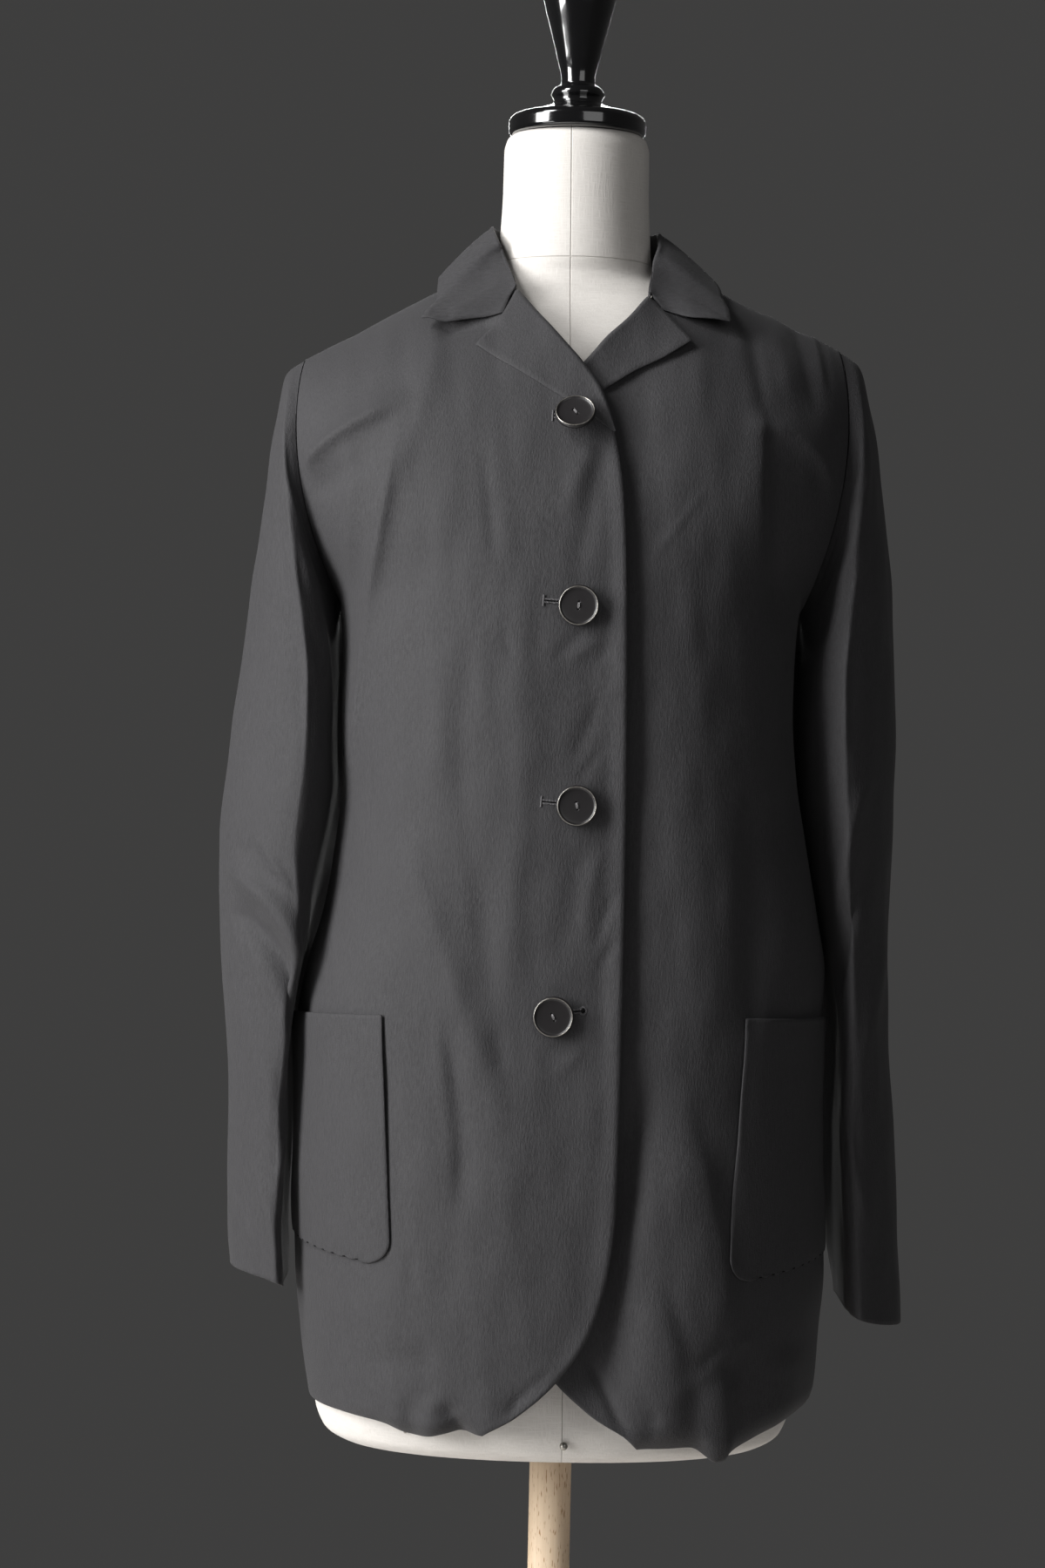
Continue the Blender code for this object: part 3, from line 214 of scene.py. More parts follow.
# Sleeves, from the armhole down to the cuff. Each ring runs from its outer point to its inner
# one. pinch flattens it into a leaf with a crease in front and behind, bow pushes its front
# and back outwards, lean brings its back edge in behind the body and toe its front crease in.
SLEEVES = tables("outer_x outer_z inner_x inner_z mid_y half_depth pinch bow lean toe", {
    "right": (
        (177, 1342, 150, 1178, 4, 58, 1, 13, 0, 0), (188, 1332, 151, 1175, 3, 61, 1.02, 12, 1, 0),
        (195.5, 1298, 152, 1168, 2, 64, 1.1, 9, 12, 2),
        (203, 1245, 152.5, 1155, 1, 67, 1.2, 5, 25, 6),
        (210, 1195, 151.5, 1132, 0, 69, 1.3, 2, 33, 11),
        (215.5, 1143, 151.5, 1102, 0, 70, 1.35, 0, 36, 15.5),
        (222, 1092, 151, 1064, -1, 70, 1.35, 0, 37, 17.5),
        (228, 1025, 159, 1008, -2, 68.5, 1.3, 0, 34, 19.5),
        (227.5, 970, 168, 960, -2, 66, 1.25, 0, 30, 25.5),
        (222.5, 905, 179.5, 899, 0, 63, 1.2, 0, 25, 22.5),
        (219, 840, 182.5, 836, 2, 61, 1.2, 0, 19, 18.5),
        (219, 780, 182.5, 774, 4, 59, 1.2, 0, 16, 17.5),
        (216, 740, 180, 728, 5, 58, 1.2, 0, 13, 16.5),
    ),
    "left": (
        (176, 1355, 154, 1178, 4, 58, 1, 13, 0, 0), (189, 1344, 155, 1175, 3, 61, 1.02, 12, 1, 0),
        (199.5, 1310, 156, 1168, 2, 64, 1.1, 9, 13, 1),
        (208.5, 1255, 156.5, 1155, 1, 67, 1.2, 5, 29, 3),
        (215, 1200, 154, 1132, 0, 69, 1.3, 2, 40, 5),
        (217.5, 1145, 153.5, 1102, 0, 70, 1.35, 0, 40, 6),
        (219.5, 1088, 155.5, 1062, 1, 70, 1.35, 0, 40, 6),
        (219, 1030, 164, 1012, 3, 68.5, 1.3, 0, 34, 7), (218, 970, 175, 960, 5, 66, 1.25, 0, 30, 8),
        (219.5, 905, 182.5, 899, 6, 63, 1.2, 0, 27, 10),
        (224, 838, 183.5, 834, 6, 61, 1.2, 0, 24, 11), (228, 770, 186, 772, 4, 59, 1.2, 0, 20, 11),
        (231, 710, 188.5, 726, 2, 58, 1.2, 0, 12, 11),
    ),
})

# Edges of the fronts, bottom to top: the rounded corner, the straight edge, then the turn into
# the lapel's roll. The left front's straight edge lies hidden under the right front. Both
# corners are cut alike, each with the other's x turned round.
CORNER = ((630, -64), (650, -46.7), (664, -24.2), (690, 3.3), (721, 22.3), (760, 32.5), (800, 36),
          (1000, 37.5))
FRONT_EDGE = tables("z x", {
    "right": CORNER + (
        (1180, 35.2), (1250, 31.8), (1280, 27.2), (1296, 23.6), (1314, 15.8), (1331.5, 3.5),
        (1349, -11.5), (1363, -23.5), (1381, -38), (1396, -51), (1403, -58), (1410, -63.5),
        (1440, -75),
    ),
    "left": tuple((z, -x) for z, x in CORNER) + (
        (1180, -35), (1250, -32.5), (1290, -26), (1314, -12), (1331.5, 6), (1349, 21.3),
        (1363, 35.8), (1376, 47), (1388, 51.2), (1403, 58), (1410, 63.5), (1440, 75),
    ),
})

# How low the hem of the fronts hangs at each place across.
HEM = table("x z", (
    (-165, 657), (-120, 655), (-90, 646), (-60, 651), (0, 652), (54, 641), (90, 642), (105, 634),
    (120, 640), (145, 650), (170, 659),
))
# How far the hem turns under at each place across, and over what height.
HEM_TURN = table("x under reach", (
    (-170, 0, 10), (-122, 1, 10), (-106, 5.5, 11), (-90, 7, 13), (-72, 5.5, 11), (-58, 8, 16),
    (-45, 2, 9), (-33, 3.8, 10), (-20, 0.8, 8), (36, 0.5, 8), (48, 5, 12), (64, 8.5, 18),
    (92, 6.8, 20), (102, 2.6, 16), (109, 2.2, 16), (116, 5.8, 18), (140, 6.5, 18), (170, 2, 12),
))

# How far the right front's edge curls off the left one, over a narrow strip.
EDGE_CURL = table("z curl", (
    (630, 0.6), (720, 1), (820, 1.8), (1060, 2.4), (1200, 2.8), (1265, 2), (1295, 0), (1440, 0),
))
EDGE_CURL_REACH = 0.012

# Low waves that hand-pressed crepe keeps all over: how many go round a sleeve, so that they
# close there, their wavelength down the cloth, and their height.
WAVES = table("count down phase height", (
    (4, 310, 0.3, 0.32), (7, -240, 1.9, 0.22), (12, 170, 4.1, 0.13), (17, -120, 2.2, 0.08),
    (23, 94, 5.2, 0.05), (3, 85, 3.3, 0.22), (-6, 52, 0.8, 0.13),
))

# Folds of the panels, in the front view: a ridge, or a trough if height is negative, from one
# end to the other. bend moves its middle sideways, skew makes one of its flanks longer than the
# other, and crisp sharpens its crest.
FOLDS = tables("x0 z0 x1 z1 bend width height skew crisp", {
    "front_right": (
        # the wearer's right front: chest and side
        (-177.5, 1261, -110, 1306, -3.5, 11, 5.6, -0.35, 0.7),
        (-172, 1265, -117.3, 1298.5, -3.5, 3.4, 1.6, -0.3, 0.5),
        (-170, 1248, -130, 1268, 0, 8, -2, 0, 0), (-87, 1354, -50, 1360, 0, 5, -4.5, 0, 0),
        (-143.5, 1278, -140, 1196, 0, 6, 1.6, 0, 0.3),
        (-87.7, 1360, -112.6, 1256, -4, 13, 2.6, 0.3, 0.2),
        (-113.5, 1269, -140, 1058, 1.8, 12, 4.4, 0.5, 1),
        # its middle, from the collar to the last button
        (-56.5, 1272, -47.8, 1200, 0, 5.5, -1.2, 0, 0.3), (16.9, 1270, 4, 1197, 0, 7, -1.6, 0, 0.2),
        (12.5, 1279, -4.9, 1232.8, 0, 5.5, 1, 0, 0.2),
        (-62.9, 1157.6, -68.6, 1030.9, 0, 8.5, -1.2, 0, 0),
        (-82.6, 1248.7, -82.6, 1060.9, 0, 9, 0.9, 0, 0),
        (-42.5, 1160, -35.5, 1140, 0, 2.4, -0.5, 0, 0),
        (-28.2, 1215.8, -27.3, 1007.1, 2, 8.5, 0.9, 0, 0),
        (-96.3, 1013.5, -40.8, 861.7, 0, 10.5, 2.1, 0.2, 0.2),
        (-54.9, 1009.2, -47.6, 924.4, 0, 11.5, -1.9, 0, 0),
        (-27.2, 1029.1, -37, 919.2, 0, 8.5, 1.3, 0, 0),
        (-72, 903, -62.6, 796, -3, 6.8, -2.4, -0.35, 0.1),
        (-40.6, 905.4, -36.8, 882, 0, 5, -0.8, 0, 0), (-140, 990, -118, 930, 0, 8, 1, 0, 0),
        # drags at the buttons and along the edge
        (9.7, 1160.9, -9.1, 1140.8, 0.6, 2.4, -1.1, 0, 0.4),
        (18, 1155, 1.5, 1138, 0.6, 3.6, 1.1, 0, 0.3),
        (23.6, 1150, 18.3, 1138.6, 0, 2.4, -0.7, 0, 0.2),
        (24.8, 1119, 5.3, 1078, 2, 5, -1.2, 0, 0.2), (28.5, 1124, 19, 1105, 0, 2.8, 0.8, 0, 0.2),
        (21.1, 1083.8, 9.4, 1064.4, 1, 3, -0.9, 0, 0.2),
        (11.3, 1024.4, -1.4, 948.5, 1.6, 7, -1.4, 0, 0.1),
        (20.8, 1016.3, 13, 966.8, 1, 3.2, 0.9, 0, 0.2),
        (30.6, 992.9, 21.4, 959.9, 1.2, 2.5, -1, 0, 0.3), (30, 978, 24, 955, 0.8, 2.2, 0.6, 0, 0.2),
        (32.8, 963.3, 23.8, 946.8, 0.8, 2.3, -0.9, 0, 0.3),
        (22.1, 950.6, 27.1, 892.1, 0, 3, -0.6, 0, 0),
        (12.3, 894.1, -2.7, 877.4, 0.6, 2.8, 0.9, 0, 0.2), (2, 896, -13, 889, 0.4, 2.6, -0.6, 0, 0),
        # its skirt and hem
        (-100, 889.1, -75.6, 786.4, 0, 12, 1, 0, 0), (-20, 860, -34, 700, 6, 26, 1.2, 0, 0),
        (-116.1, 693.2, -76.6, 698.5, 0, 11, -1.6, 0, 0),
        (-94.1, 763.2, -91.4, 741.4, 0, 3.8, -0.7, 0, 0), (-120, 740, -96, 650, 0, 20, 1.6, 0, 0),
        (-95, 640, -90.5, 672, 1, 7, -2.2, 0.2, 0), (-78.5, 640, -78, 674, 0, 8, 2.4, 0, 0.1),
        (-60, 648, -69, 670, 1, 5, -2.6, 0, 0.2), (-44, 640, -40, 685, 0, 11, 2.2, 0, 0),
        (-27.5, 666, -22.8, 679.3, 0, 2.6, -1.3, 0, 0.2),
        (-20.5, 675, -13.1, 688, 0, 2.4, -1, 0, 0.2),
        (-11.9, 681, -6.6, 692.5, 0, 2.4, -0.9, 0, 0.2),
    ),
    "front_left": (
        # the left front: chest and shoulder
        (171.6, 1254, 118.1, 1295.7, 11, 9.5, 3.4, 0.35, 0.5),
        (121, 1300, 120.5, 1220, 0, 8.5, 2.2, 0.5, 0.5),
        (119.7, 1260, 119.3, 1050, 0, 16, 2.4, 0.3, 0.1),
        (128.7, 1264, 133.9, 1170, 0, 7.5, -3.4, 0, 0.1),
        (84.8, 1251, 52.2, 1206.6, 0, 2.8, 0.6, 0, 0.6),
        (82.2, 1207.7, 89.2, 1141.7, 0, 8, -0.7, 0, 0),
        (114.3, 1360, 123.2, 1304.1, 0, 4.8, -1.1, 0, 0.1),
        (131.1, 1364, 138.8, 1317, 0, 7, 1, 0, 0), (146.4, 1370, 158.1, 1307, 1, 4.6, -1.3, 0, 0.1),
        (158, 1368, 163.7, 1320.7, 0, 3.8, 0.9, 0, 0.2),
        (163.5, 1359.4, 166.8, 1323.5, 0, 3.6, -0.8, 0, 0),
        # its middle, the valley over the pocket, and its skirt
        (50, 870, 30, 670, 6, 20, -6.5, 0, 0), (86, 1230, 92, 1000, -4, 24, 1, 0, 0),
        (60, 1120, 66, 880, 4, 24, -1, 0, 0), (121.9, 1055, 119.7, 910, 0, 8.5, -3.6, 0, 0.1),
        (145.8, 1020.4, 155.2, 900, 0, 13, 2.4, 0, 0),
        (85.7, 838, 110, 708.5, -3, 19, 4.4, 0.55, 0.2),
        (61.5, 849.7, 44.2, 724.1, -3, 8, 1, 0, 0.1), (67.8, 751.3, 85.4, 701.5, 0, 6, -0.9, 0, 0),
        (109.9, 715.1, 91.7, 695.7, 0, 3.4, -1, 0, 0.2),
        (129.3, 716.3, 74.9, 676.5, 0, 6, 1.2, 0, 0.1),
        (119.1, 707.8, 117.4, 682.8, 0, 3.6, -1.1, 0, 0),
        (24.4, 696.7, 49.1, 646.1, 0, 3.6, -2.6, 0, 0.4),
        (61, 650, 64, 669.1, 0, 3.4, -1.3, 0, 0.2), (103.7, 690, 110.6, 633, 0, 11, 3.4, 0.3, 0.1),
        (90, 686, 86, 632, 0, 8, -1.8, 0, 0), (66, 740, 70, 650, 0, 14, 2, 0, 0),
        (40, 800, 52, 670, 0, 18, 1.4, 0, 0), (150, 700, 146, 640, 0, 12, 2.6, 0, 0),
    ),
    "pocket_right": (
        # where the right pocket turns round the side
        (-174, 920, -160, 780, 2, 5, 1.5, 0, 0.2),
    ),
    "back": (
        # the back, which the photo hides: the same kinds of folds from blades, waist and hem
        (-72, 1270, -90, 660, 8, 26, 5.6, 0.2, 0.2), (66, 1270, 98, 660, -6, 26, 4.8, -0.2, 0.2),
        (-16, 1200, 6, 680, 8, 30, -5, 0, 0), (130, 1240, 60, 1290, 4, 16, 3.4, 0.3, 0.5),
        (-132, 1235, -70, 1285, 4, 16, 3.4, -0.3, 0.5),
        (-118, 1180, -122, 980, 3, 8, 2.4, 0.2, 0.6), (112, 1170, 126, 960, -2, 9, 2.6, 0.2, 0.6),
        (-50, 1060, -84, 1015, 2, 9, 1.6, 0, 0.2), (44, 1050, 80, 1000, -3, 10, 1.8, 0, 0.2),
        (-30, 900, -44, 780, 3, 11, -2.4, 0.2, 0.1), (52, 880, 44, 720, -2, 13, 2.4, 0, 0),
        (-106, 700, -100, 645, 0, 8, -3.6, 0, 0.1), (-84, 696, -80, 645, 0, 10, 2.8, 0, 0.1),
        (30, 690, 34, 645, 0, 9, -3, 0, 0.1), (120, 700, 126, 645, 0, 10, 3, 0, 0.1),
    ),
})

# Folds of the empty sleeves: where each lies round the sleeve and along it, in degrees from
# the outer edge towards the front and in rings from the armhole.
SLEEVE_FOLDS = tables("angle0 ring0 angle1 ring1 spread height", {
    "right": (
        (95, 1.6, 150, 5.2, 18, 3.4), (84, 2.2, 92, 6.4, 8, 1.3), (40, 7.4, 100, 8.3, 15, 6),
        (56, 7, 78, 7.45, 5, 2.2), (44, 7.95, 106, 8.85, 13, -6.8), (26, 8.6, 84, 9.9, 14, 1.6),
        (150, 9.4, 96, 10.6, 12, 2), (60, 10.6, 100, 11.6, 13, 1.2), (250, 6.6, 320, 7.6, 16, 3.6),
        (236, 8.4, 300, 9, 13, 2.6), (262, 3, 244, 6.2, 12, 2.2), (20, 1.2, 24, 3.6, 18, 1.2),
    ),
    "left": (
        (95, 2, 140, 5.6, 16, 3.4), (86, 3, 92, 8, 8, 1.4), (60, 6.2, 120, 7.6, 14, 2.6),
        (70, 7.4, 140, 8.6, 13, -2.4), (30, 8.2, 84, 9.6, 15, 1.8), (120, 9.6, 70, 10.8, 13, 1.6),
        (300, 6.4, 236, 7.8, 16, 3.6), (316, 8.3, 250, 9.4, 13, 2.4), (276, 3.4, 262, 6, 12, 2.2),
        (336, 1, 330, 3.2, 18, 1.2),
    ),
})

# Patch pockets: inner edge at the mouth and at the corner, mouth and bottom in the front view,
# how much lower the mouth and higher the bottom are at the outer edge, and how far along the
# panel's row the outer edge lies (1 is the side seam).
POCKETS = table("side mouth_x inner_x top_z bottom_z drop climb outer_t", (
    ("right", -113.3, -105.8, 913, 755.2, 4.5, 9, 0.955),
    ("left", 117.3, 108, 915, 750, 3, 8, 0.955),
))

# Collar, from the middle of the back round to its front end. Each row gives the neck seam, the
# fold on top of the stand and the outer edge of the fall, on one side.
COLLAR = tables("seam_x seam_y seam_z fold_x fold_y fold_z edge_x edge_y edge_z", {
    "right": (
        (0, 64, 1409, 0, 60, 1436, 0, 93, 1379), (33, 55, 1410.5, 30, 53, 1436, 51, 85, 1378),
        (56, 32, 1412, 51, 29, 1434, 84, 45, 1388), (57.5, 8, 1411.5, 54.5, 4, 1433, 90, 2, 1398),
        (55, -14, 1405, 52.5, -18, 1425, 90, -26, 1386),
        (48, -36, 1398.5, 46, -40, 1409, 88.8, -50, 1374),
        (40.5, -53, 1390, 39.6, -58, 1392, 94.5, -67, 1352.5),
        (40, -56, 1387, 38.8, -61, 1389.5, 70, -74, 1360.5),
        (38.5, -62.5, 1381.5, 37.2, -65, 1384.2, 46, -80, 1366),
    ),
    "left": (
        (0, 64, 1409, 0, 60, 1436, 0, 93, 1379), (33, 55, 1410.5, 30, 53, 1436, 51, 85, 1378),
        (56, 32, 1412, 52, 29, 1433, 84, 45, 1388), (57.5, 8, 1411.5, 55, 4, 1431, 91, 2, 1400),
        (57, -14, 1405, 55, -18, 1421, 95, -26, 1388),
        (51.5, -36, 1398.5, 51, -40, 1406, 97, -50, 1376),
        (49.5, -53, 1389.5, 49, -58, 1390, 97.5, -68, 1356.6),
        (49, -56, 1386, 48, -61, 1387, 77, -74, 1361.2),
        (48.5, -62.5, 1377.5, 47.2, -65, 1380, 56.8, -80, 1370.2),
    ),
})

COLLAR_LIFT = 3.0 * MM      # how far the fall stands off the panels

# Lapels in the front view, from the break at the front edge up to the gorge seam: the line each
# rolls along, its outer edge, and the notch in its top edge. x and z in millimetres.
LAPELS = {
    "right": {
        "roll": ((27.5, 1285), (23.6, 1296), (15.8, 1314), (3.5, 1331.5), (-11.5, 1349),
                 (-23.5, 1363), (-37, 1380)),
        "outer": ((27.5, 1285), (19, 1291.2), (6, 1299.8), (-10, 1310), (-27.5, 1320.9),
                  (-45.5, 1332), (-63.2, 1343.3)),
        "notch": (-45.2, 1365.5),
    },
    "left": {
        "roll": ((-12, 1314), (-3, 1323), (6, 1331.5), (13.7, 1340), (21.3, 1349), (35.8, 1363),
                 (47, 1376.8)),
        "outer": ((2, 1299), (9.8, 1307), (17.2, 1314), (29, 1321.8), (41, 1329.2), (58, 1337),
                  (74.2, 1346.2)),
        "notch": (57.2, 1367.6),
    },
}
# How far the outer edge stands off the front, from the break to the tip.
LAPEL_EDGE = table("q right left", (
    (0, 0, 0.6), (0.35, 0.1, 1.6), (0.55, 0.2, 3), (0.75, 0.2, 2.2), (0.9, 0.4, 3.4), (1, 0.8, 4.2),
))

# Buttons: how high each one's middle stands off the front, how far it tips back and towards
# which side, and how its two holes are turned. Degrees.
BUTTONS = table("number x z rise tip towards holes", (
    (1, 1, 1295, 6.2, -20, 18, -38), (2, 5.4, 1175, 2.4, 3, -30, 6),
    (3, 6.6, 1049, 2.2, 2, 40, -14), (4, -5.5, 916, 2.3, 3, 10, -22),
))

# Worked buttonholes: the bar tack's end or the eyelet, and where the slit goes under its button.
BUTTONHOLES = table("number end_x end_z under_x under_z eyelet", (
    (1, -13.2, 1296.1, 0, 1295.5, 0), (2, -16.8, 1177.9, 2, 1176.8, 0),
    (3, -15.7, 1051.2, 3, 1050, 0), (4, 12.8, 920, -4, 918, 1),
))

# The linen form: half width and depths of each ring.
FORM = table("z half front back square", (
    (626, 118, 76, 82, 2.2), (629, 140, 96, 100, 2.2), (637, 152, 106, 105, 2.2),
    (652, 157.5, 110.5, 108.5, 2.2), (690, 161, 112, 110, 2.2), (760, 164, 112, 110, 2.2),
    (830, 161, 108, 107, 2.2), (900, 153, 101, 101, 2.2), (970, 133, 92, 90, 2.2),
    (1030, 122, 89, 84, 2.1), (1090, 125, 96, 87, 2.1), (1150, 133, 108, 94, 2.1),
    (1200, 140, 112, 98, 2.1), (1250, 148, 107, 99, 2.1), (1290, 154, 98, 95, 2.1),
    (1320, 158, 85, 86, 2.1), (1338, 155, 76, 78, 2.1), (1355, 140, 64, 68, 2.1),
    (1372, 112, 50.8, 59, 2), (1386, 84.4, 43, 53, 2), (1398, 57.8, 41.8, 51, 2),
    (1408, 51.5, 44, 51, 2), (1425, 50, 44.5, 50.5, 2), (1455, 48.5, 44.5, 49, 2),
    (1482, 48.2, 44, 48, 2), (1490, 46.2, 42, 46, 2), (1493, 43, 39, 43, 2),
))

# The black turned cap: a disc, a bead and a finial that swells upwards. Radius and height in
# millimetres, like the base's.
CAP = (
    (0, 1493.4), (43, 1493.4), (45.5, 1496.5), (45.5, 1502), (43, 1506), (34, 1508.5), (24, 1511.5),
    (16.5, 1515), (16, 1517.5), (17.6, 1521), (16, 1525), (11.5, 1528), (11.2, 1532), (14, 1545),
    (18.5, 1563), (23.8, 1584), (26.4, 1601), (25.2, 1613), (19.5, 1623), (10, 1628.5), (0, 1630),
)

# Seams of the linen: the one down the middle leans to the wearer's left as it goes down.
LINEN_YARN = 0.9 * MM
LINEN_SLUB = 9 * MM
LINEN_SEAM_X = 0.0136       # where its slope would meet the floor
LINEN_SEAM_SLANT = -0.0118
LINEN_RING_Z = 1.4075
LINEN_SEAM_WIDTH = 0.6 * MM

# Two dress pins in the form under the hem: place, radius of the head.
PINS = table("name x z radius", (
    ("ball_pin", 6.9, 642, 2.65), ("small_pin", -94.5, 646, 1.2),
))

# The round base, from the middle of its underside to the edge of the pole's hole.
BASE = (
    (0, 0), (180, 0), (184, 3), (185, 8), (184, 18), (178, 23.5), (165, 26), (42, 29), (33, 31),
    (30, 38), (28, 42), (0, 42),
)


# ---------------------------------------------------------------- reading the tables
def hermite(xs, ys, at):
    """A smooth curve through (xs, ys) that never overshoots them, read at one place or many."""
    xs, ys = np.asarray(xs, float), np.asarray(ys, float)
    at = np.clip(np.asarray(at, float), xs[0], xs[-1])
    step = np.diff(xs)
    slope = np.diff(ys) / step
    before, after = slope[:-1], slope[1:]
    same_way = before * after > 0
    tangent = np.zeros_like(ys)
    tangent[[0, -1]] = slope[[0, -1]]
    tangent[1:-1][same_way] = (2 * before * after)[same_way] / (before + after)[same_way]
    k = np.clip(np.searchsorted(xs, at, side="right") - 1, 0, len(step) - 1)
    s = (at - xs[k]) / step[k]
    return ((1 + 2 * s) * (1 - s) ** 2 * ys[k] + s * (1 - s) ** 2 * step[k] * tangent[k]
            + s * s * (3 - 2 * s) * ys[k + 1] + s * s * (s - 1) * step[k] * tangent[k + 1])


def column(rows, name):
    return np.array([getattr(row, name) for row in rows], float)


def read(rows, name, at):
    """One column of a table at a place along its first column."""
    return hermite(column(rows, rows[0]._fields[0]), column(rows, name), at)


def smooth_step(value, low, high):
    s = np.clip((value - low) / (high - low), 0.0, 1.0)
    return s * s * (3 - 2 * s)


def between(along, begins, full, fades, ends):
    """1 between full and fades, falling softly to 0 on both sides."""
    return smooth_step(along, begins, full) * (1 - smooth_step(along, fades, ends))


def superellipse(turn, square):
    """Across and forward parts of a rounded quadrant, for a turn in radians from its middle."""
    across = np.abs(np.sin(turn)) ** (2 / square)
    forward = np.abs(np.cos(turn)) ** (2 / square)
    return across, forward


def unit(vectors):
    return vectors / np.maximum(np.linalg.norm(vectors, axis=-1, keepdims=True), 1e-12)


def normals_of(grid, closed=False):
    """Unit normals of a grid of points, from its neighbours on each side."""
    if closed:
        along = np.roll(grid, -1, axis=1) - np.roll(grid, 1, axis=1)
    else:
        along = np.gradient(grid, axis=1)
    return unit(np.cross(along, np.gradient(grid, axis=0)))


# ---------------------------------------------------------------- the cloth's shape
def sleeve_ring(side, ring, angle):
    """Points of a sleeve's ring. Ring 0 is the armhole seam: the shoulder is at 0 degrees, its
    front at 90 and the underarm at 180.
    """
    rows = SLEEVES[side]
    index = np.arange(len(rows))
    size = {name: hermite(index, column(rows, name), ring) for name in rows[0]._fields}
    cos, sin = np.cos(np.radians(angle)), np.sin(np.radians(angle))
    reach = np.sign(cos) * np.abs(cos) ** size["pinch"]
    aside, up = [(size["outer_" + axis] + size["inner_" + axis]) / 2
                 + (size["outer_" + axis] - size["inner_" + axis]) / 2 * reach for axis in "xz"]
    aside = aside + size["bow"] * (1 - cos ** 2)
    aside = aside - size["lean"] * np.minimum(sin, 0) ** 2 - size["toe"] * np.maximum(sin, 0) ** 2
    return SIDES[side] * aside, size["mid_y"] - size["half_depth"] * sin, up


def centre_height(row):
    """Height on the centre line of each row: even below the underarm, by the table above."""
    row = np.asarray(row, float)
    low = HEM_Z + (UNDERARM_Z - HEM_Z) * row
    return np.where(row <= 1, low, read(ROWS, "centre_z", row))


def body_point(side, face, t, row):
    """A point of the body cloth: t runs from the centre line (0) to the side seam or armhole
    (1), and below 0 it crosses over to the other side. row is 0 at the hem, 1 at the underarm
    and 2 at the shoulder seam.
    """
    t = np.asarray(t, float)
    row = np.asarray(row, float)
    centre_z = centre_height(row)
    full_turn = np.radians(read(ROWS, "turn", row))
    square = read(ROWS, "square", row)
    depth = read(BODY, face, centre_z)

    loop_angle = 180 * np.clip(2 - row, 0, 1)
    if face == "back":
        loop_angle = -loop_angle
    loop_x, loop_y, loop_z = sleeve_ring(side, 0.0, loop_angle)
    low = row <= 1
    end_x = np.where(low, read(BODY, "half_" + side, centre_z), np.abs(loop_x))
    end_y = np.where(low, read(BODY, "seam_y", centre_z), loop_y)
    end_z = np.where(low, centre_z, loop_z)

    turn = np.abs(t) * full_turn
    across, forward = superellipse(turn, square)
    across_end, forward_end = superellipse(full_turn, square)
    share = across / across_end
    sign = -1 if face == "front" else 1
    x = SIDES[side] * np.sign(t) * end_x * share
    y = sign * depth + (end_y - sign * depth) * (1 - forward) / (1 - forward_end)
    z = centre_z + (end_z - centre_z) * share
    near_hem = np.clip(1 - row / HEM_REACH, 0, 1) ** 2
    if face == "front":
        z = z + (read(HEM, "z", x) - HEM_Z) * near_hem
    else:
        z = z + BACK_HEM_RISE * share ** 4 * near_hem
    return np.stack(np.broadcast_arrays(x, y, z), axis=-1)


def t_at_x(side, x, row):
    """How far across a row the cloth reaches a given x."""
    full_turn = np.radians(read(ROWS, "turn", row))
    square = read(ROWS, "square", row)
    end_x = np.abs(body_point(side, "front", 1.0, row)[..., 0])
    share = np.clip(np.abs(x) / end_x, 0, 1)
    turn = np.arcsin(np.clip(np.sin(full_turn) * share ** (square / 2), 0, 1))
    return np.sign(x * SIDES[side]) * turn / full_turn


def front_at(side, x, z):
    """The smooth front seen at (x, z) from the front, by halving the rows between hem and
    shoulder."""
    low = np.zeros(np.shape(x))
    high = np.full(np.shape(x), 2.0)
    for _ in range(HALVINGS):
        middle = (low + high) / 2
        point = body_point(side, "front", t_at_x(side, x, middle), middle)
        under = point[..., 2] < z
        low = np.where(under, middle, low)
        high = np.where(under, high, middle)
    return body_point(side, "front", t_at_x(side, x, low), low)


def on_front(side, x, z, rise):
    """Points laid on a front, its folds included, moved out by rise, and how they face."""
    x = np.asarray(x, float)
    z = np.asarray(z, float)
    tiny = 1.0e-3
    point = front_at(side, x, z)
    beside = front_at(side, x + tiny, z) - front_at(side, x - tiny, z)
    above = front_at(side, x, z + tiny) - front_at(side, x, z - tiny)
    normal = unit(np.cross(beside, above))
    height = front_folds(side, point) + rise
    return point + normal * height[..., None], normal


def fold_height(panel, points):
    """How far the large folds push each point of a panel outwards."""
    x = points[..., 0]
    z = points[..., 2]
    total = np.zeros(x.shape)
    for fold in FOLDS.get(panel, ()):
        run_x, run_z = fold.x1 - fold.x0, fold.z1 - fold.z0
        length = math.hypot(run_x, run_z)
        along = ((x - fold.x0) * run_x + (z - fold.z0) * run_z) / length ** 2
        aside = ((x - fold.x0) * run_z - (z - fold.z0) * run_x) / length
        aside = aside - fold.bend * np.sin(np.pi * np.clip(along, 0, 1))
        fade = between(along, -0.15, 0.2, 0.75, 1.15)
        off = aside / (fold.width * (1 + fold.skew * np.sign(aside)))
        soft = np.exp(-off ** 2)
        sharp = np.exp(-1.6 * (np.sqrt(off ** 2 + 0.03) - 0.17))
        total += fold.height * (soft + (sharp - soft) * fold.crisp) * fade
    return total


def waves(across, down):
    """Low waves of the pressed cloth, none of them in step with another."""
    total = np.zeros(np.broadcast(across, down).shape)
    for wave in WAVES:
        turns = across * wave.count / SLEEVE_GIRTH + down / wave.down
        total += wave.height * np.sin(2 * np.pi * turns + wave.phase)
    return total


def seam_fade(share):
    """Folds die away at the side seams and armholes, so neighbours keep the same line."""
    return 1 - smooth_step(share, 0.86, 1.0)


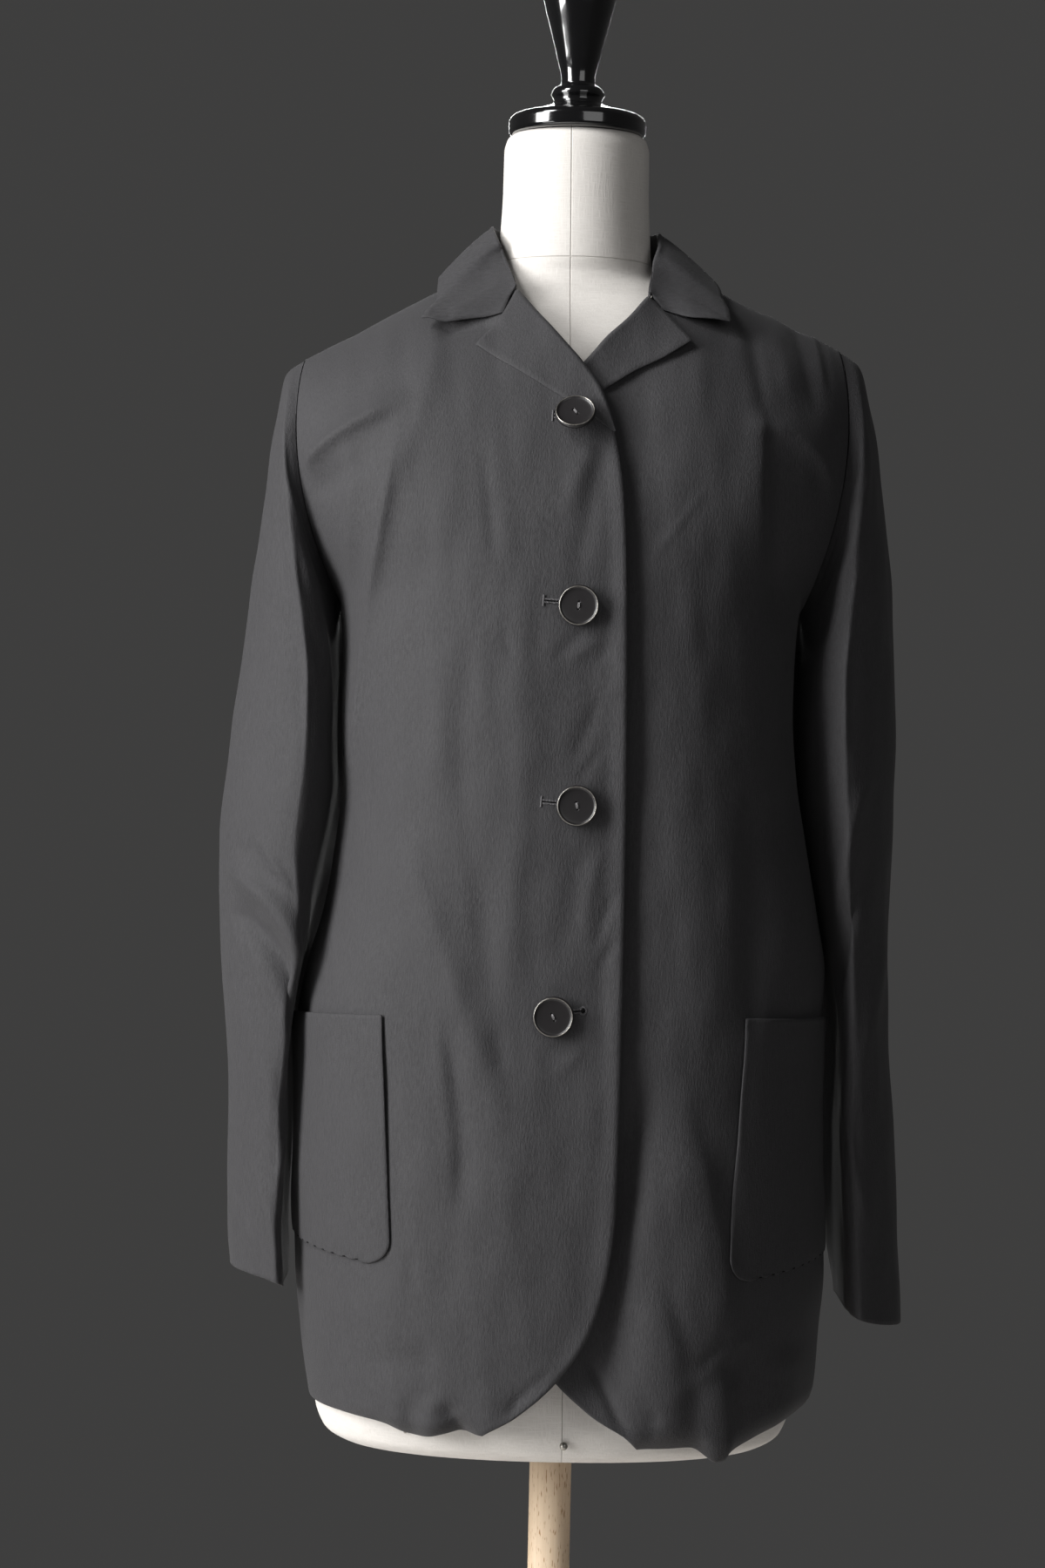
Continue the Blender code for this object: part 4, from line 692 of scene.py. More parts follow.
def front_folds(side, points):
    """Folds of a front and, on the left one, the step that takes it under the right one."""
    x, z = points[..., 0], points[..., 2]
    height = fold_height("front_" + side, points) + waves(x, z)
    above = (z - read(HEM, "z", x)) / read(HEM_TURN, "reach", x)
    turn = read(HEM_TURN, "under", x)
    height = height - turn * (1 - np.clip(above, 0, 1)) ** 2
    if side == "right":
        inside = read(FRONT_EDGE["right"], "x", z) - x
        curl = read(EDGE_CURL, "curl", z)
        height = height + curl * (1 - smooth_step(inside, 0, EDGE_CURL_REACH))
    else:
        under = smooth_step(-x, -STEP_FROM_X, -STEP_TO_X)
        level = 1 - smooth_step(z, BREAK_Z - 0.01, BREAK_Z + 0.05)
        height = height - OVERLAP_STEP * under * level
    return height


def eased(grid, rows, share):
    """Runs the cloth smoothly past the underarm, where the armhole starts, except at it."""
    near = np.exp(-((rows - 1.0) / UNDERARM_REACH) ** 2) * (1 - smooth_step(share, 0.75, 1.0))
    for _ in range(UNDERARM_ROUNDS):
        bend = grid[:-2] - 2 * grid[1:-1] + grid[2:]
        grid[1:-1] += 0.25 * near[1:-1, :, None] * bend
    return grid


def front_grid(side):
    """Outer points of a front, rows from the shoulder seam down to the hem."""
    rows = row_spacing(FRONT_DOWN)[::-1][:, None]
    edge_t = np.zeros_like(rows)
    edge_z = centre_height(rows)
    for _ in range(EDGE_ROUNDS):
        edge_x = read(FRONT_EDGE[side], "x", edge_z)
        edge_x = edge_x + SIDES[side] * ROLL_TUCK * smooth_step(edge_z, *ROLL_TUCK_Z)
        edge_t = t_at_x(side, edge_x, rows)
        edge_z = 0.5 * edge_z + 0.5 * body_point(side, "front", edge_t, rows)[..., 2]
    share = np.linspace(0, 1, FRONT_ACROSS)[None, :]
    t = edge_t + (SEAM_T - edge_t) * share
    grid = eased(body_point(side, "front", t, np.broadcast_to(rows, t.shape)), rows, share)
    normal = normals_of(grid) * -SIDES[side]
    folds = front_folds(side, grid) * seam_fade(share)
    return grid + normal * folds[..., None], normal


def row_spacing(down):
    """Row numbers from hem to shoulder, closer together round the armhole."""
    low = int(round((down - 1) * LOWER_ROWS))
    return np.concatenate([np.linspace(0, 1, low, endpoint=False) ** 1.12,
                           np.linspace(1, 2, down - low)])


def back_grid():
    """Outer points of the back, rows from the neckline and shoulder seams down to the hem."""
    rows = row_spacing(BACK_DOWN)[::-1]
    share = np.linspace(-1, 1, BACK_ACROSS)
    grid = np.zeros((BACK_DOWN, BACK_ACROSS, 3))
    for c, t in enumerate(share):
        side = "left" if t >= 0 else "right"
        top = neck_top_row(side, abs(t))
        grid[:, c] = body_point(side, "back", abs(t) * SEAM_T, rows * top / 2)
    grid = eased(grid, rows[:, None], np.abs(share)[None, :])
    normal = normals_of(grid)
    height = fold_height("back", grid) + waves(grid[..., 0], grid[..., 2])
    folds = height * seam_fade(np.abs(share))[None, :]
    return grid + normal * folds[..., None], normal


def neck_top_row(side, t):
    """The row where the back ends: the shoulder seam, or the neckline nearer the centre."""
    x = abs(body_point(side, "back", t, 2.0)[0])
    inside = max(0.0, 1 - (x / NECK_POINT_X) ** 2.4)
    return 2.0 - BACK_NECK_DIP * inside ** 0.5


def sleeve_grid(side):
    """Outer points of a sleeve, rings from the armhole down to the cuff."""
    last = len(SLEEVES[side]) - 1
    top = SLEEVE_DOWN // 3
    rings = np.concatenate([np.linspace(0, ARMHOLE_RINGS, top, endpoint=False),
                            np.linspace(ARMHOLE_RINGS, last, SLEEVE_DOWN - top)])[:, None]
    angle = np.linspace(0, 360, SLEEVE_ROUND, endpoint=False)[None, :]
    shape = (SLEEVE_DOWN, SLEEVE_ROUND)
    grid = np.stack(sleeve_ring(side, np.broadcast_to(rings, shape), angle), axis=-1)
    normal = normals_of(grid, closed=True) * SIDES[side]
    height = np.zeros(shape)
    for fold in SLEEVE_FOLDS[side]:
        along = (rings - fold.ring0) / (fold.ring1 - fold.ring0)
        middle = fold.angle0 + (fold.angle1 - fold.angle0) * np.clip(along, 0, 1)
        aside = (angle - middle + 180) % 360 - 180
        fade = between(along, -0.35, 0.25, 0.7, 1.35)
        height += fold.height * np.exp(-(aside / fold.spread) ** 2) * fade
    height = height + waves(np.radians(angle) * SLEEVE_GIRTH / (2 * np.pi), rings * RING_STEP)
    inner_side = smooth_step(np.cos(np.radians(angle)), -0.98, -0.6)
    height *= inner_side * smooth_step(rings, 0.0, 1.0)
    return grid + normal * height[..., None], normal


# ---------------------------------------------------------------- making meshes
def piece_from(name, points, faces, material):
    mesh = bpy.data.meshes.new(name)
    mesh.from_pydata([tuple(point) for point in points], [], faces)
    clean = bmesh.new()
    clean.from_mesh(mesh)
    bmesh.ops.recalc_face_normals(clean, faces=clean.faces)
    clean.to_mesh(mesh)
    clean.free()
    mesh.polygons.foreach_set("use_smooth", [True] * len(mesh.polygons))
    mesh.materials.append(material)
    piece = bpy.data.objects.new(name, mesh)
    bpy.context.scene.collection.objects.link(piece)
    return piece


def quads(index):
    """Faces between the neighbours of a grid of point numbers."""
    corners = (index[:-1, :-1], index[:-1, 1:], index[1:, 1:], index[1:, :-1])
    return np.stack(corners, axis=-1).reshape(-1, 4).tolist()


def wall(name, outer, inner, material, closed=False):
    """A thin wall between two grids of points, with a rounded rim along its open edges."""
    down, across = outer.shape[:2]
    count = down * across
    index = np.arange(count).reshape(down, across)
    if closed:
        index = np.concatenate([index, index[:, :1]], axis=1)
        loops = [[(0, c) for c in range(across)], [(down - 1, c) for c in range(across)]]
    else:
        loops = [[(0, c) for c in range(across)]
                 + [(r, across - 1) for r in range(1, down)]
                 + [(down - 1, c) for c in range(across - 2, -1, -1)]
                 + [(r, 0) for r in range(down - 2, 0, -1)]]
    faces = quads(index) + quads(index[:, ::-1] + count)
    points = [outer.reshape(-1, 3), inner.reshape(-1, 3)]
    total = 2 * count
    for loop in loops:
        rows = np.array([r for r, _ in loop])
        places = np.array([c for _, c in loop])
        ring = rows * across + places
        in_row = np.clip(rows, 1, down - 2)
        in_place = places if closed else np.clip(places, 1, across - 2)
        middle = (outer[rows, places] + inner[rows, places]) / 2
        inward = (outer[in_row, in_place] + inner[in_row, in_place]) / 2
        thick = np.linalg.norm(outer[rows, places] - inner[rows, places], axis=1, keepdims=True)
        points.append(middle + unit(middle - inward) * thick * RIM_ROUND)
        rim = total + np.arange(len(loop))
        strip = np.stack([ring, rim, ring + count])
        faces += quads(np.concatenate([strip, strip[:, :1]], axis=1))
        total += len(loop)
    return piece_from(name, np.concatenate(points), faces, material)


def turned(name, profile, sides, material, place=None, centre=(0.0, 0.0)):
    """A solid of revolution from a smooth line through (radius, z) points."""
    turn = 2 * np.pi * np.arange(sides) / sides
    points = []
    rings = []
    for radius, z in profile:
        if radius < 1e-6:
            rings.append([len(points)] * sides)
            points.append((centre[0], centre[1], z))
            continue
        rings.append(list(range(len(points), len(points) + sides)))
        points += [(centre[0] + radius * math.cos(a), centre[1] + radius * math.sin(a), z)
                   for a in turn]
    faces = []
    for low, high in zip(rings[:-1], rings[1:]):
        for k in range(sides):
            corners = (low[k], low[(k + 1) % sides], high[(k + 1) % sides], high[k])
            face = list(dict.fromkeys(corners))
            if len(face) > 2:
                faces.append(face)
    piece = piece_from(name, points, faces, material)
    if place is not None:
        piece.data.transform(place)
    return piece


def strand(path, radius, sides=8, closed=False):
    """Points and faces of a round thread along a list of points."""
    line = np.array([tuple(p) for p in path])
    if closed:
        heading = np.roll(line, -1, axis=0) - np.roll(line, 1, axis=0)
    else:
        heading = np.gradient(line, axis=0)
    heading = unit(heading)
    aside = unit(np.cross(heading, ASIDE_FROM))
    above = np.cross(heading, aside)
    turn = 2 * np.pi * np.arange(sides) / sides
    points = (line[:, None] + radius * (np.cos(turn)[None, :, None] * aside[:, None]
                                        + np.sin(turn)[None, :, None] * above[:, None]))
    index = np.arange(points.shape[0] * sides).reshape(-1, sides)
    index = np.concatenate([index, index[:, :1]], axis=1)
    if closed:
        return points.reshape(-1, 3), quads(np.concatenate([index, index[:1]]))
    ends = [index[0, :sides].tolist(), index[-1, :sides].tolist()]
    return points.reshape(-1, 3), quads(index) + ends


def strands_piece(name, strands, material):
    """Several threads as one piece."""
    points = []
    faces = []
    for some, some_faces in strands:
        start = sum(len(p) for p in points)
        points.append(some)
        faces += [[start + k for k in face] for face in some_faces]
    return piece_from(name, np.concatenate(points), faces, material)


# ---------------------------------------------------------------- finishes
def linear(hex_code):
    """An sRGB hex colour as the linear colour that Blender works in."""
    parts = [int(hex_code[k:k + 2], 16) / 255 for k in (1, 3, 5)]
    return [p / 12.92 if p <= 0.04045 else ((p + 0.055) / 1.055) ** 2.4 for p in parts] + [1.0]


def plug(tree, node, inputs):
    """Sets a node's inputs, each from a number, a hex colour or the socket it is linked from."""
    for name, value in inputs.items():
        if isinstance(value, bpy.types.NodeSocket):
            tree.links.new(value, node.inputs[name])
        else:
            is_colour = isinstance(value, str)
            node.inputs[name].default_value = linear(value) if is_colour else value


def add(tree, kind, inputs, **settings):
    node = tree.nodes.new("ShaderNode" + kind)
    for name, value in settings.items():
        setattr(node, name, value)
    plug(tree, node, inputs)
    return node


def noise(tree, place, spot, detail, height=None, **inputs):
    """Irregular spots from 0 to 1, of one size, or drawn out to another height along Z."""
    if height:
        scale = (1 / spot, 1 / spot, 1 / height)
        place = add(tree, "Mapping", {"Vector": place, "Scale": scale}).outputs[0]
        spot = 1.0
    inputs.update({"Vector": place, "Scale": 1 / spot, "Detail": detail})
    return add(tree, "TexNoise", inputs).outputs["Fac"]


def mixed(tree, factor, first, second, kind="RGBA"):
    both = {"Factor": factor, "A": first, "B": second}
    return add(tree, "Mix", both, data_type=kind).outputs["Result"]


def ranged(tree, value, **limits):
    """A value taken from one range to another, each 0 to 1 unless its limits are given."""
    inputs = {name.replace("_", " "): limit for name, limit in limits.items()}
    return add(tree, "MapRange", {"Value": value, **inputs}).outputs["Result"]


def maths(tree, operation, *values):
    return add(tree, "Math", dict(enumerate(values)), operation=operation).outputs[0]


def bump(tree, height, strength, distance):
    inputs = {"Height": height, "Strength": strength, "Distance": distance}
    return add(tree, "Bump", inputs).outputs["Normal"]


def finish(name):
    """An empty finish: its node tree and where a point lies in metres."""
    material = bpy.data.materials.new(name)
    material.use_nodes = True
    tree = material.node_tree
    return material, tree, add(tree, "TexCoord", {}).outputs["Object"]


def surface(material, inputs):
    plug(material.node_tree, material.node_tree.nodes["Principled BSDF"], inputs)
    return material


def charcoal_crepe(name, streak, streak_height):
    """Wool and polyester crepe, woven from hard-twisted yarn: a dry charcoal surface whose
    irregular pebble runs in short streaks along the warp and scatters a faint pale sheen."""
    material, tree, place = finish(name)
    crinkle = noise(tree, place, streak, 3.0, streak_height, Roughness=0.6)
    both = mixed(tree, 0.35, crinkle, noise(tree, place, CREPE_PEBBLE, 2.0), "FLOAT")
    # painted shade and highlight: the colour darkens in the pebble's hollows and lightens on its
    # crests, following the bump's height; a broad random tone is then mixed over it
    painted_relief_shade = ranged(tree, both, From_Min=0.35, From_Max=0.65)
    tone = mixed(tree, painted_relief_shade, "#1A191B", "#373638")
    random_tone_and_relief_shade = mixed(tree, noise(tree, place, 60 * MM, 3.0), tone, "#2B2A2C")
    return surface(material, {
        "Base Color": random_tone_and_relief_shade, "Normal": bump(tree, both, 1.0, 0.55 * MM), "Roughness": 0.77,
        "Sheen Weight": 0.05, "Sheen Roughness": 0.5, "Specular IOR Level": 0.46})


def near_zero(tree, value, width):
    """1 where a value is nought, falling to 0 at width on both sides."""
    return ranged(tree, maths(tree, "ABSOLUTE", value), From_Max=width, To_Min=1.0, To_Max=0.0)


def warm_white_linen():
    """Bleached linen, plain-woven and stretched over padding: slubs cross at right angles, and
    narrow seams run down the middle and round the bottom of the neck."""
    material, tree, place = finish("warm_white_linen")
    weave = maths(tree, "MAXIMUM", noise(tree, place, LINEN_YARN, 2.0, LINEN_SLUB),
                  noise(tree, place, LINEN_SLUB, 2.0, LINEN_YARN))
    axes = add(tree, "SeparateXYZ", {"Vector": place}).outputs
    slant = maths(tree, "MULTIPLY_ADD", axes["Z"], LINEN_SEAM_SLANT, LINEN_SEAM_X)
    aside = maths(tree, "SUBTRACT", axes["X"], slant)
    above = maths(tree, "SUBTRACT", axes["Z"], LINEN_RING_Z)
    seams = maths(tree, "MAXIMUM", near_zero(tree, aside, LINEN_SEAM_WIDTH),
                  near_zero(tree, above, LINEN_SEAM_WIDTH))
    tone = mixed(tree, seams, mixed(tree, weave, "#BFBAB4", "#DDD9D4"), "#B2ADA6")
    dip = maths(tree, "MULTIPLY_ADD", seams, -2.0, weave)
    return surface(material, {"Base Color": tone, "Normal": bump(tree, dip, 0.6, 0.3 * MM),
                              "Roughness": 0.85, "Sheen Weight": 0.15})


def pale_beech():
    """Steamed beech, turned and oiled: fine upright grain with short brown flecks."""
    material, tree, place = finish("pale_beech")
    grain = noise(tree, place, 2.2 * MM, 3.0, 120 * MM)
    flecks = noise(tree, place, 1.0 * MM, 1.0, 6 * MM)
    few = ranged(tree, flecks, From_Min=0.62, From_Max=0.74)
    tone = mixed(tree, few, mixed(tree, grain, "#C9AD8C", "#E6D3BB"), "#A37C54")
    return surface(material, {"Base Color": tone, "Roughness": 0.42})


def glossy(name, spot, detail, low, high, inputs):
    """A polish that wavers between two roughnesses, in spots of one size."""
    material, tree, place = finish(name)
    rough = ranged(tree, noise(tree, place, spot, detail), To_Min=low, To_Max=high)
    return surface(material, {"Roughness": rough, **inputs})


def mottled(name, spot, detail, dark, light, inputs):
    """A colour that wavers between two tones, in spots of one size."""
    material, tree, place = finish(name)
    tone = mixed(tree, noise(tree, place, spot, detail), dark, light)
    return surface(material, {"Base Color": tone, **inputs})


# ---------------------------------------------------------------- the pieces
def build_front(side, cloth):
    outer, normal = front_grid(side)
    outer[0, :, 1] -= SEAM / 2
    inner = outer - normal * CLOTH
    inner[0, :, 1] = np.minimum(inner[0, :, 1], outer[0, :, 1])
    below = row_spacing(FRONT_DOWN)[::-1] <= 1.0
    inner[below, -1, 1] = np.minimum(inner[below, -1, 1], outer[below, -1, 1])
    return wall("blazer_front_" + side, outer, inner, cloth)


def build_back(cloth):
    outer, normal = back_grid()
    outer[0, :, 1] += SEAM / 2
    inner = outer - normal * CLOTH
    inner[0, :, 1] = np.maximum(inner[0, :, 1], outer[0, :, 1])
    below = row_spacing(BACK_DOWN)[::-1] <= 1.0
    for end in (0, -1):
        inner[below, end, 1] = np.maximum(inner[below, end, 1], outer[below, end, 1])
    return wall("blazer_back", outer, inner, cloth)


def build_sleeve(side, cloth):
    outer, normal = sleeve_grid(side)
    out = SIDES[side]
    outer[0, :, 0] += out * SEAM_STEP
    inner = outer - normal * CLOTH
    inner[0, :, 0] = out * np.maximum(out * inner[0, :, 0], out * outer[0, :, 0])
    return wall("blazer_sleeve_" + side, outer, inner, cloth, closed=True)


def surface_of(pieces):
    """The outside of some pieces, to lay others on."""
    points = []
    faces = []
    for piece in pieces:
        start = len(points)
        points += [v.co.copy() for v in piece.data.vertices]
        faces += [[start + k for k in face.vertices] for face in piece.data.polygons]
    return BVHTree.FromPolygons(points, faces)


def lift(grid, surface, clearance):
    """Move the points that lie closer than clearance to a surface out to that distance."""
    lifted = grid.copy()
    for r in range(grid.shape[0]):
        for c in range(grid.shape[1]):
            point = Vector(grid[r, c])
            for _ in range(2):
                place, normal, _, _ = surface.find_nearest(point)
                height = (point - place).dot(normal)
                if height < clearance:
                    point = point + normal * (clearance - height)
            lifted[r, c] = point
    return lifted


def collar_stations(side):
    """Corner points of the collar from the middle of the back to its front end."""
    rows = COLLAR[side]
    index = np.arange(len(rows))
    # stations lie closer together towards the tip, which keeps its corner
    to_tip = COLLAR_TIP * (1 - (1 - np.linspace(0, 1, COLLAR_STEPS)) ** 1.5)
    from_tip = (index[-1] - COLLAR_TIP) * np.linspace(0, 1, COLLAR_END_STEPS)[1:] ** 1.4
    places = np.concatenate([to_tip, COLLAR_TIP + from_tip])
    spots = {}
    for name in rows[0]._fields:
        value = column(rows, name)
        before = hermite(index[:COLLAR_TIP + 1], value[:COLLAR_TIP + 1],
                         np.minimum(places, COLLAR_TIP))
        after = hermite(index[COLLAR_TIP:], value[COLLAR_TIP:], np.maximum(places, COLLAR_TIP))
        spots[name] = np.where(places <= COLLAR_TIP, before, after)
        if name.endswith("_x"):
            spots[name] = spots[name] * SIDES[side]
    line = {spot: np.stack([spots[spot + axis] for axis in ("_x", "_y", "_z")], axis=-1)
            for spot in ("seam", "fold", "edge")}
    return line, places


def collar_rows(line):
    """Points of the collar's middle layer, from its seam over the rolled fold to its edge."""
    stand = line["seam"] - line["fold"]
    fall = line["edge"] - line["fold"]
    shorter = np.minimum(*(np.linalg.norm(part, axis=1, keepdims=True) for part in (stand, fall)))
    roll = np.minimum(COLLAR_ROLL, 0.45 * shorter)
    inner_end = line["fold"] + unit(stand) * roll
    outer_end = line["fold"] + unit(fall) * roll
    top = line["fold"] + np.array([0.0, 0.0, 1.0]) * roll * 0.5
    rows = []
    for s in np.linspace(0, 1, COLLAR_STAND_ROWS, endpoint=False):
        rows.append(line["seam"] * (1 - s) + inner_end * s)
    for s in np.linspace(0, 1, COLLAR_ROLL_ROWS, endpoint=False):
        rows.append(inner_end * (1 - s) ** 2 + top * 2 * s * (1 - s) + outer_end * s * s)
    for s in np.linspace(0, 1, COLLAR_FALL_ROWS):
        row = outer_end * (1 - s) + line["edge"] * s
        row[:, 2] += COLLAR_SWELL * math.sin(math.pi * s ** 0.8)
        rows.append(row)
    return np.stack(rows)


def collar_half(side, panels):
    """One half of the collar's middle layer, lying over the back, shoulder and front."""
    line, places = collar_stations(side)
    middle = collar_rows(line)
    out = np.concatenate([np.zeros(COLLAR_STAND_ROWS + COLLAR_ROLL_ROWS),
                          np.linspace(0, 1, COLLAR_FALL_ROWS)])
    lifted = np.stack([lift(middle[r:r + 1], panels, COLLAR_CLOTH / 2 + LAID_ON
                            + COLLAR_LIFT * smooth_step(out[r], 0.1, 0.5))[0]
                       for r in range(len(middle))])
    moved = lifted - middle
    for _ in range(COLLAR_EASE):
        moved[1:-1] = (moved[:-2] + 2 * moved[1:-1] + moved[2:]) / 4
        moved[:, 1:-1] = (moved[:, :-2] + 2 * moved[:, 1:-1] + moved[:, 2:]) / 4
    middle = middle + moved
    # in front, the fall lies over the front and ends level with the lapel at the gorge seam
    last = len(COLLAR[side]) - 1
    on_the_front = smooth_step(places, COLLAR_TIP - 1.6, COLLAR_TIP - 0.2)[None, :]
    to_gorge = smooth_step(places, COLLAR_TIP, last)[None, :]
    edge = COLLAR_TIP_LIFT * (1 - to_gorge) + LAPEL_LEVEL * to_gorge
    rise = COLLAR_FOLD_RISE * (1 - out[:, None]) ** 1.5 + edge * out[:, None] ** 1.3
    from_seam = np.linspace(1, 0, COLLAR_STAND_ROWS)
    rise[:COLLAR_STAND_ROWS] -= (COLLAR_FOLD_RISE + 2 * MM) * from_seam[:, None]
    ahead = np.flatnonzero(on_the_front[0] > 0)
    target, _ = on_front(side, middle[:, ahead, 0], middle[:, ahead, 2], rise[:, ahead])
    middle[:, ahead] += (target - middle[:, ahead]) * on_the_front[:, ahead, None]
    return middle


def build_collar(cloth, panels):
    halves = {side: collar_half(side, panels) for side in SIDES}
    middle = np.concatenate([halves["right"][:, :0:-1], halves["left"]], axis=1)
    for _ in range(COLLAR_EASE):
        middle[:, 1:-1] = (middle[:, :-2] + 6 * middle[:, 1:-1] + middle[:, 2:]) / 8
    normal = normals_of(middle)
    thick = np.full(middle.shape[:2], COLLAR_CLOTH)
    thick[-3:] *= np.array([0.9, 0.75, 0.6])[:, None]
    half = normal * thick[..., None] / 2
    return wall("blazer_collar", middle + half, middle - half, cloth)


def build_lapel(side, cloth):
    spots = LAPELS[side]
    steps = np.linspace(0, 1, len(spots["roll"]))
    along = np.linspace(LAPEL_START, 1, LAPEL_ALONG)
    lines = {name: np.stack([hermite(steps, np.array(spots[name])[:, k] * MM, along)
                             for k in (0, 1)], axis=-1) for name in ("roll", "outer")}
    gorge, tip, notch = lines["roll"][-1], lines["outer"][-1], np.array(spots["notch"]) * MM
    roll_turn = np.linspace(-math.pi / 2, math.pi / 2, LAPEL_ROLL_STEPS, endpoint=False)
    flat = np.linspace(0, 1, LAPEL_ACROSS)
    count = LAPEL_ROLL_STEPS + LAPEL_ACROSS
    grid = np.zeros((LAPEL_ALONG, count, 2))
    rise = np.zeros((LAPEL_ALONG, count))
    thick = np.full((LAPEL_ALONG, count), LAPEL_CLOTH)
    grows = smooth_step(along, -0.02, 0.35) if side == "right" else np.ones(LAPEL_ALONG)
    lift_edge = read(LAPEL_EDGE, side, along)
    for r, q in enumerate(along):
        inner, outer = lines["roll"][r], lines["outer"][r]
        across = unit(outer - inner)
        radius = LAPEL_ROLL_RADIUS * grows[r]
        top_rise = LAPEL_RISE * grows[r]
        for c, turn in enumerate(roll_turn):
            grid[r, c] = inner + across * radius * (0.6 - math.cos(turn))
            rise[r, c] = top_rise - radius + radius * math.sin(turn)
        for c, a in enumerate(flat):
            straight = gorge * (1 - a) + tip * a
            if a < NOTCH_AT:
                top = gorge + (notch - gorge) * a / NOTCH_AT
            else:
                top = notch + (tip - notch) * (a - NOTCH_AT) / (1 - NOTCH_AT)
            start = radius * 0.6 * across * (1 - a) ** 2
            grid[r, LAPEL_ROLL_STEPS + c] = (inner * (1 - a) + outer * a + start
                                               + (top - straight) * q ** 5)
            rise[r, LAPEL_ROLL_STEPS + c] = top_rise * (1 - a) ** 1.8 + lift_edge[r] * a ** 2
    thick *= (0.12 + 0.88 * smooth_step(along, 0.0, 0.35))[:, None]
    thick[:, -3:] *= np.array([0.85, 0.6, 0.3])
    under, normal = on_front(side, grid[..., 0], grid[..., 1], LAPEL_GAP + rise)
    facing = normals_of(under)
    facing *= np.sign((facing * normal).sum())
    return wall("blazer_lapel_" + side, under + facing * thick[..., None], under, cloth)


def pocket_grid(pocket):
    """Points of a pocket's under side before it is lifted, mouth to bottom, and their rows."""
    side = pocket.side
    corner_top = pocket.bottom_z + POCKET_ROUND
    round_part = np.sin(np.linspace(0, math.pi / 2, POCKET_CORNER))
    down = np.concatenate([np.linspace(pocket.top_z, corner_top, POCKET_DOWN - POCKET_CORNER,
                                       endpoint=False),
                           corner_top - POCKET_ROUND * round_part])
    into_corner = np.clip(corner_top - down, 0, POCKET_ROUND)
    inset = POCKET_ROUND - np.sqrt(POCKET_ROUND ** 2 - into_corner ** 2)
    fall = (pocket.top_z - down) / (pocket.top_z - pocket.bottom_z)
    share = np.linspace(0, 1, POCKET_ACROSS)
    grid = np.zeros((len(down), POCKET_ACROSS, 3))
    for r, z in enumerate(down):
        slant = (pocket.climb * fall[r] - pocket.drop * (1 - fall[r])) * share
        rows = (z + slant - HEM_Z) / (UNDERARM_Z - HEM_Z)
        inner_x = pocket.mouth_x + (pocket.inner_x - pocket.mouth_x) * min(1.0, 1.1 * fall[r])
        inner_t = float(t_at_x(side, inner_x + SIDES[side] * inset[r], rows[0]))
        outer_t = pocket.outer_t - inset[r] / PANEL_WIDTH
        grid[r] = body_point(side, "front", np.linspace(inner_t, outer_t, POCKET_ACROSS), rows)
    return grid, fall[:, None], share[None, :]


def build_pocket(pocket, cloth, thread):
    """A patch pocket, slack in the middle and at the mouth's ends, pricked down by hand."""
    side = pocket.side
    grid, fall, share = pocket_grid(pocket)
    normal = normals_of(grid) * -SIDES[side]
    along = np.cumsum(np.linalg.norm(np.diff(grid[-1], axis=0, prepend=grid[-1:, 0][:1]), axis=1))
    bulge = POCKET_BULGE * np.sin(math.pi * share) ** 0.7 * np.sin(math.pi * fall ** 0.8) ** 0.8
    gape = POCKET_GAPE * np.exp(-(fall / 0.10) ** 2) * np.sin(math.pi * share) ** 2
    corner = POCKET_CORNER_LIFT * np.exp(-(fall / 0.07) ** 2) * smooth_step(share, 0.86, 1.0)
    edge = POCKET_EDGE_LIFT * np.exp(-((fall - 0.28) / 0.25) ** 2) * np.exp(-share / 0.04)
    prick = 0.5 + 0.5 * np.cos(2 * np.pi * along / PRICK_GAP)[None, :] ** 9
    pucker = -PRICK_DEPTH * prick * np.exp(-((1 - fall) / 0.02) ** 2)
    height = front_folds(side, grid) * (1 - 0.4 * np.sin(math.pi * share)) + LAID_ON
    height = height + fold_height("pocket_" + side, grid)
    under = grid + normal * (height + bulge + gape + corner + edge + pucker)[..., None]
    facing = normals_of(under) * -SIDES[side]
    thick = np.full(grid.shape[:2], CLOTH)
    thick[0] *= 1.3
    outer = under + facing * thick[..., None]
    # the prick stitches are short near-black strands in the painted-shade finish passed in as
    # thread: painted shade in the puckers along the bottom
    pricks = []
    row = outer[-3]
    for k in range(1, POCKET_ACROSS - 1):
        if int(along[k] / PRICK_GAP) > int(along[k - 1] / PRICK_GAP):
            way = unit(row[k + 1] - row[k - 1]) * PRICK_LENGTH
            pricks.append(strand([row[k] + way * s for s in (-0.5, 0.0, 0.5)], PRICK_RADIUS))
    stitches = strands_piece("pocket_%s_pricks" % side, pricks, thread)
    return wall("blazer_pocket_" + side, outer, under, cloth), stitches


def button_pose(button):
    """Where a button sits: on the front, tipped back about a slanting axis."""
    place, normal = on_front("right", button.x, button.z, button.rise)
    turn = Vector((0, 0, 1)).rotation_difference(Vector(normal)).to_matrix().to_4x4()
    slant = math.radians(button.towards)
    axis = Vector((math.cos(slant), 0.0, math.sin(slant)))
    tip = Matrix.Rotation(math.radians(button.tip), 4, axis)
    return Matrix.Translation(Vector(place)) @ tip @ turn


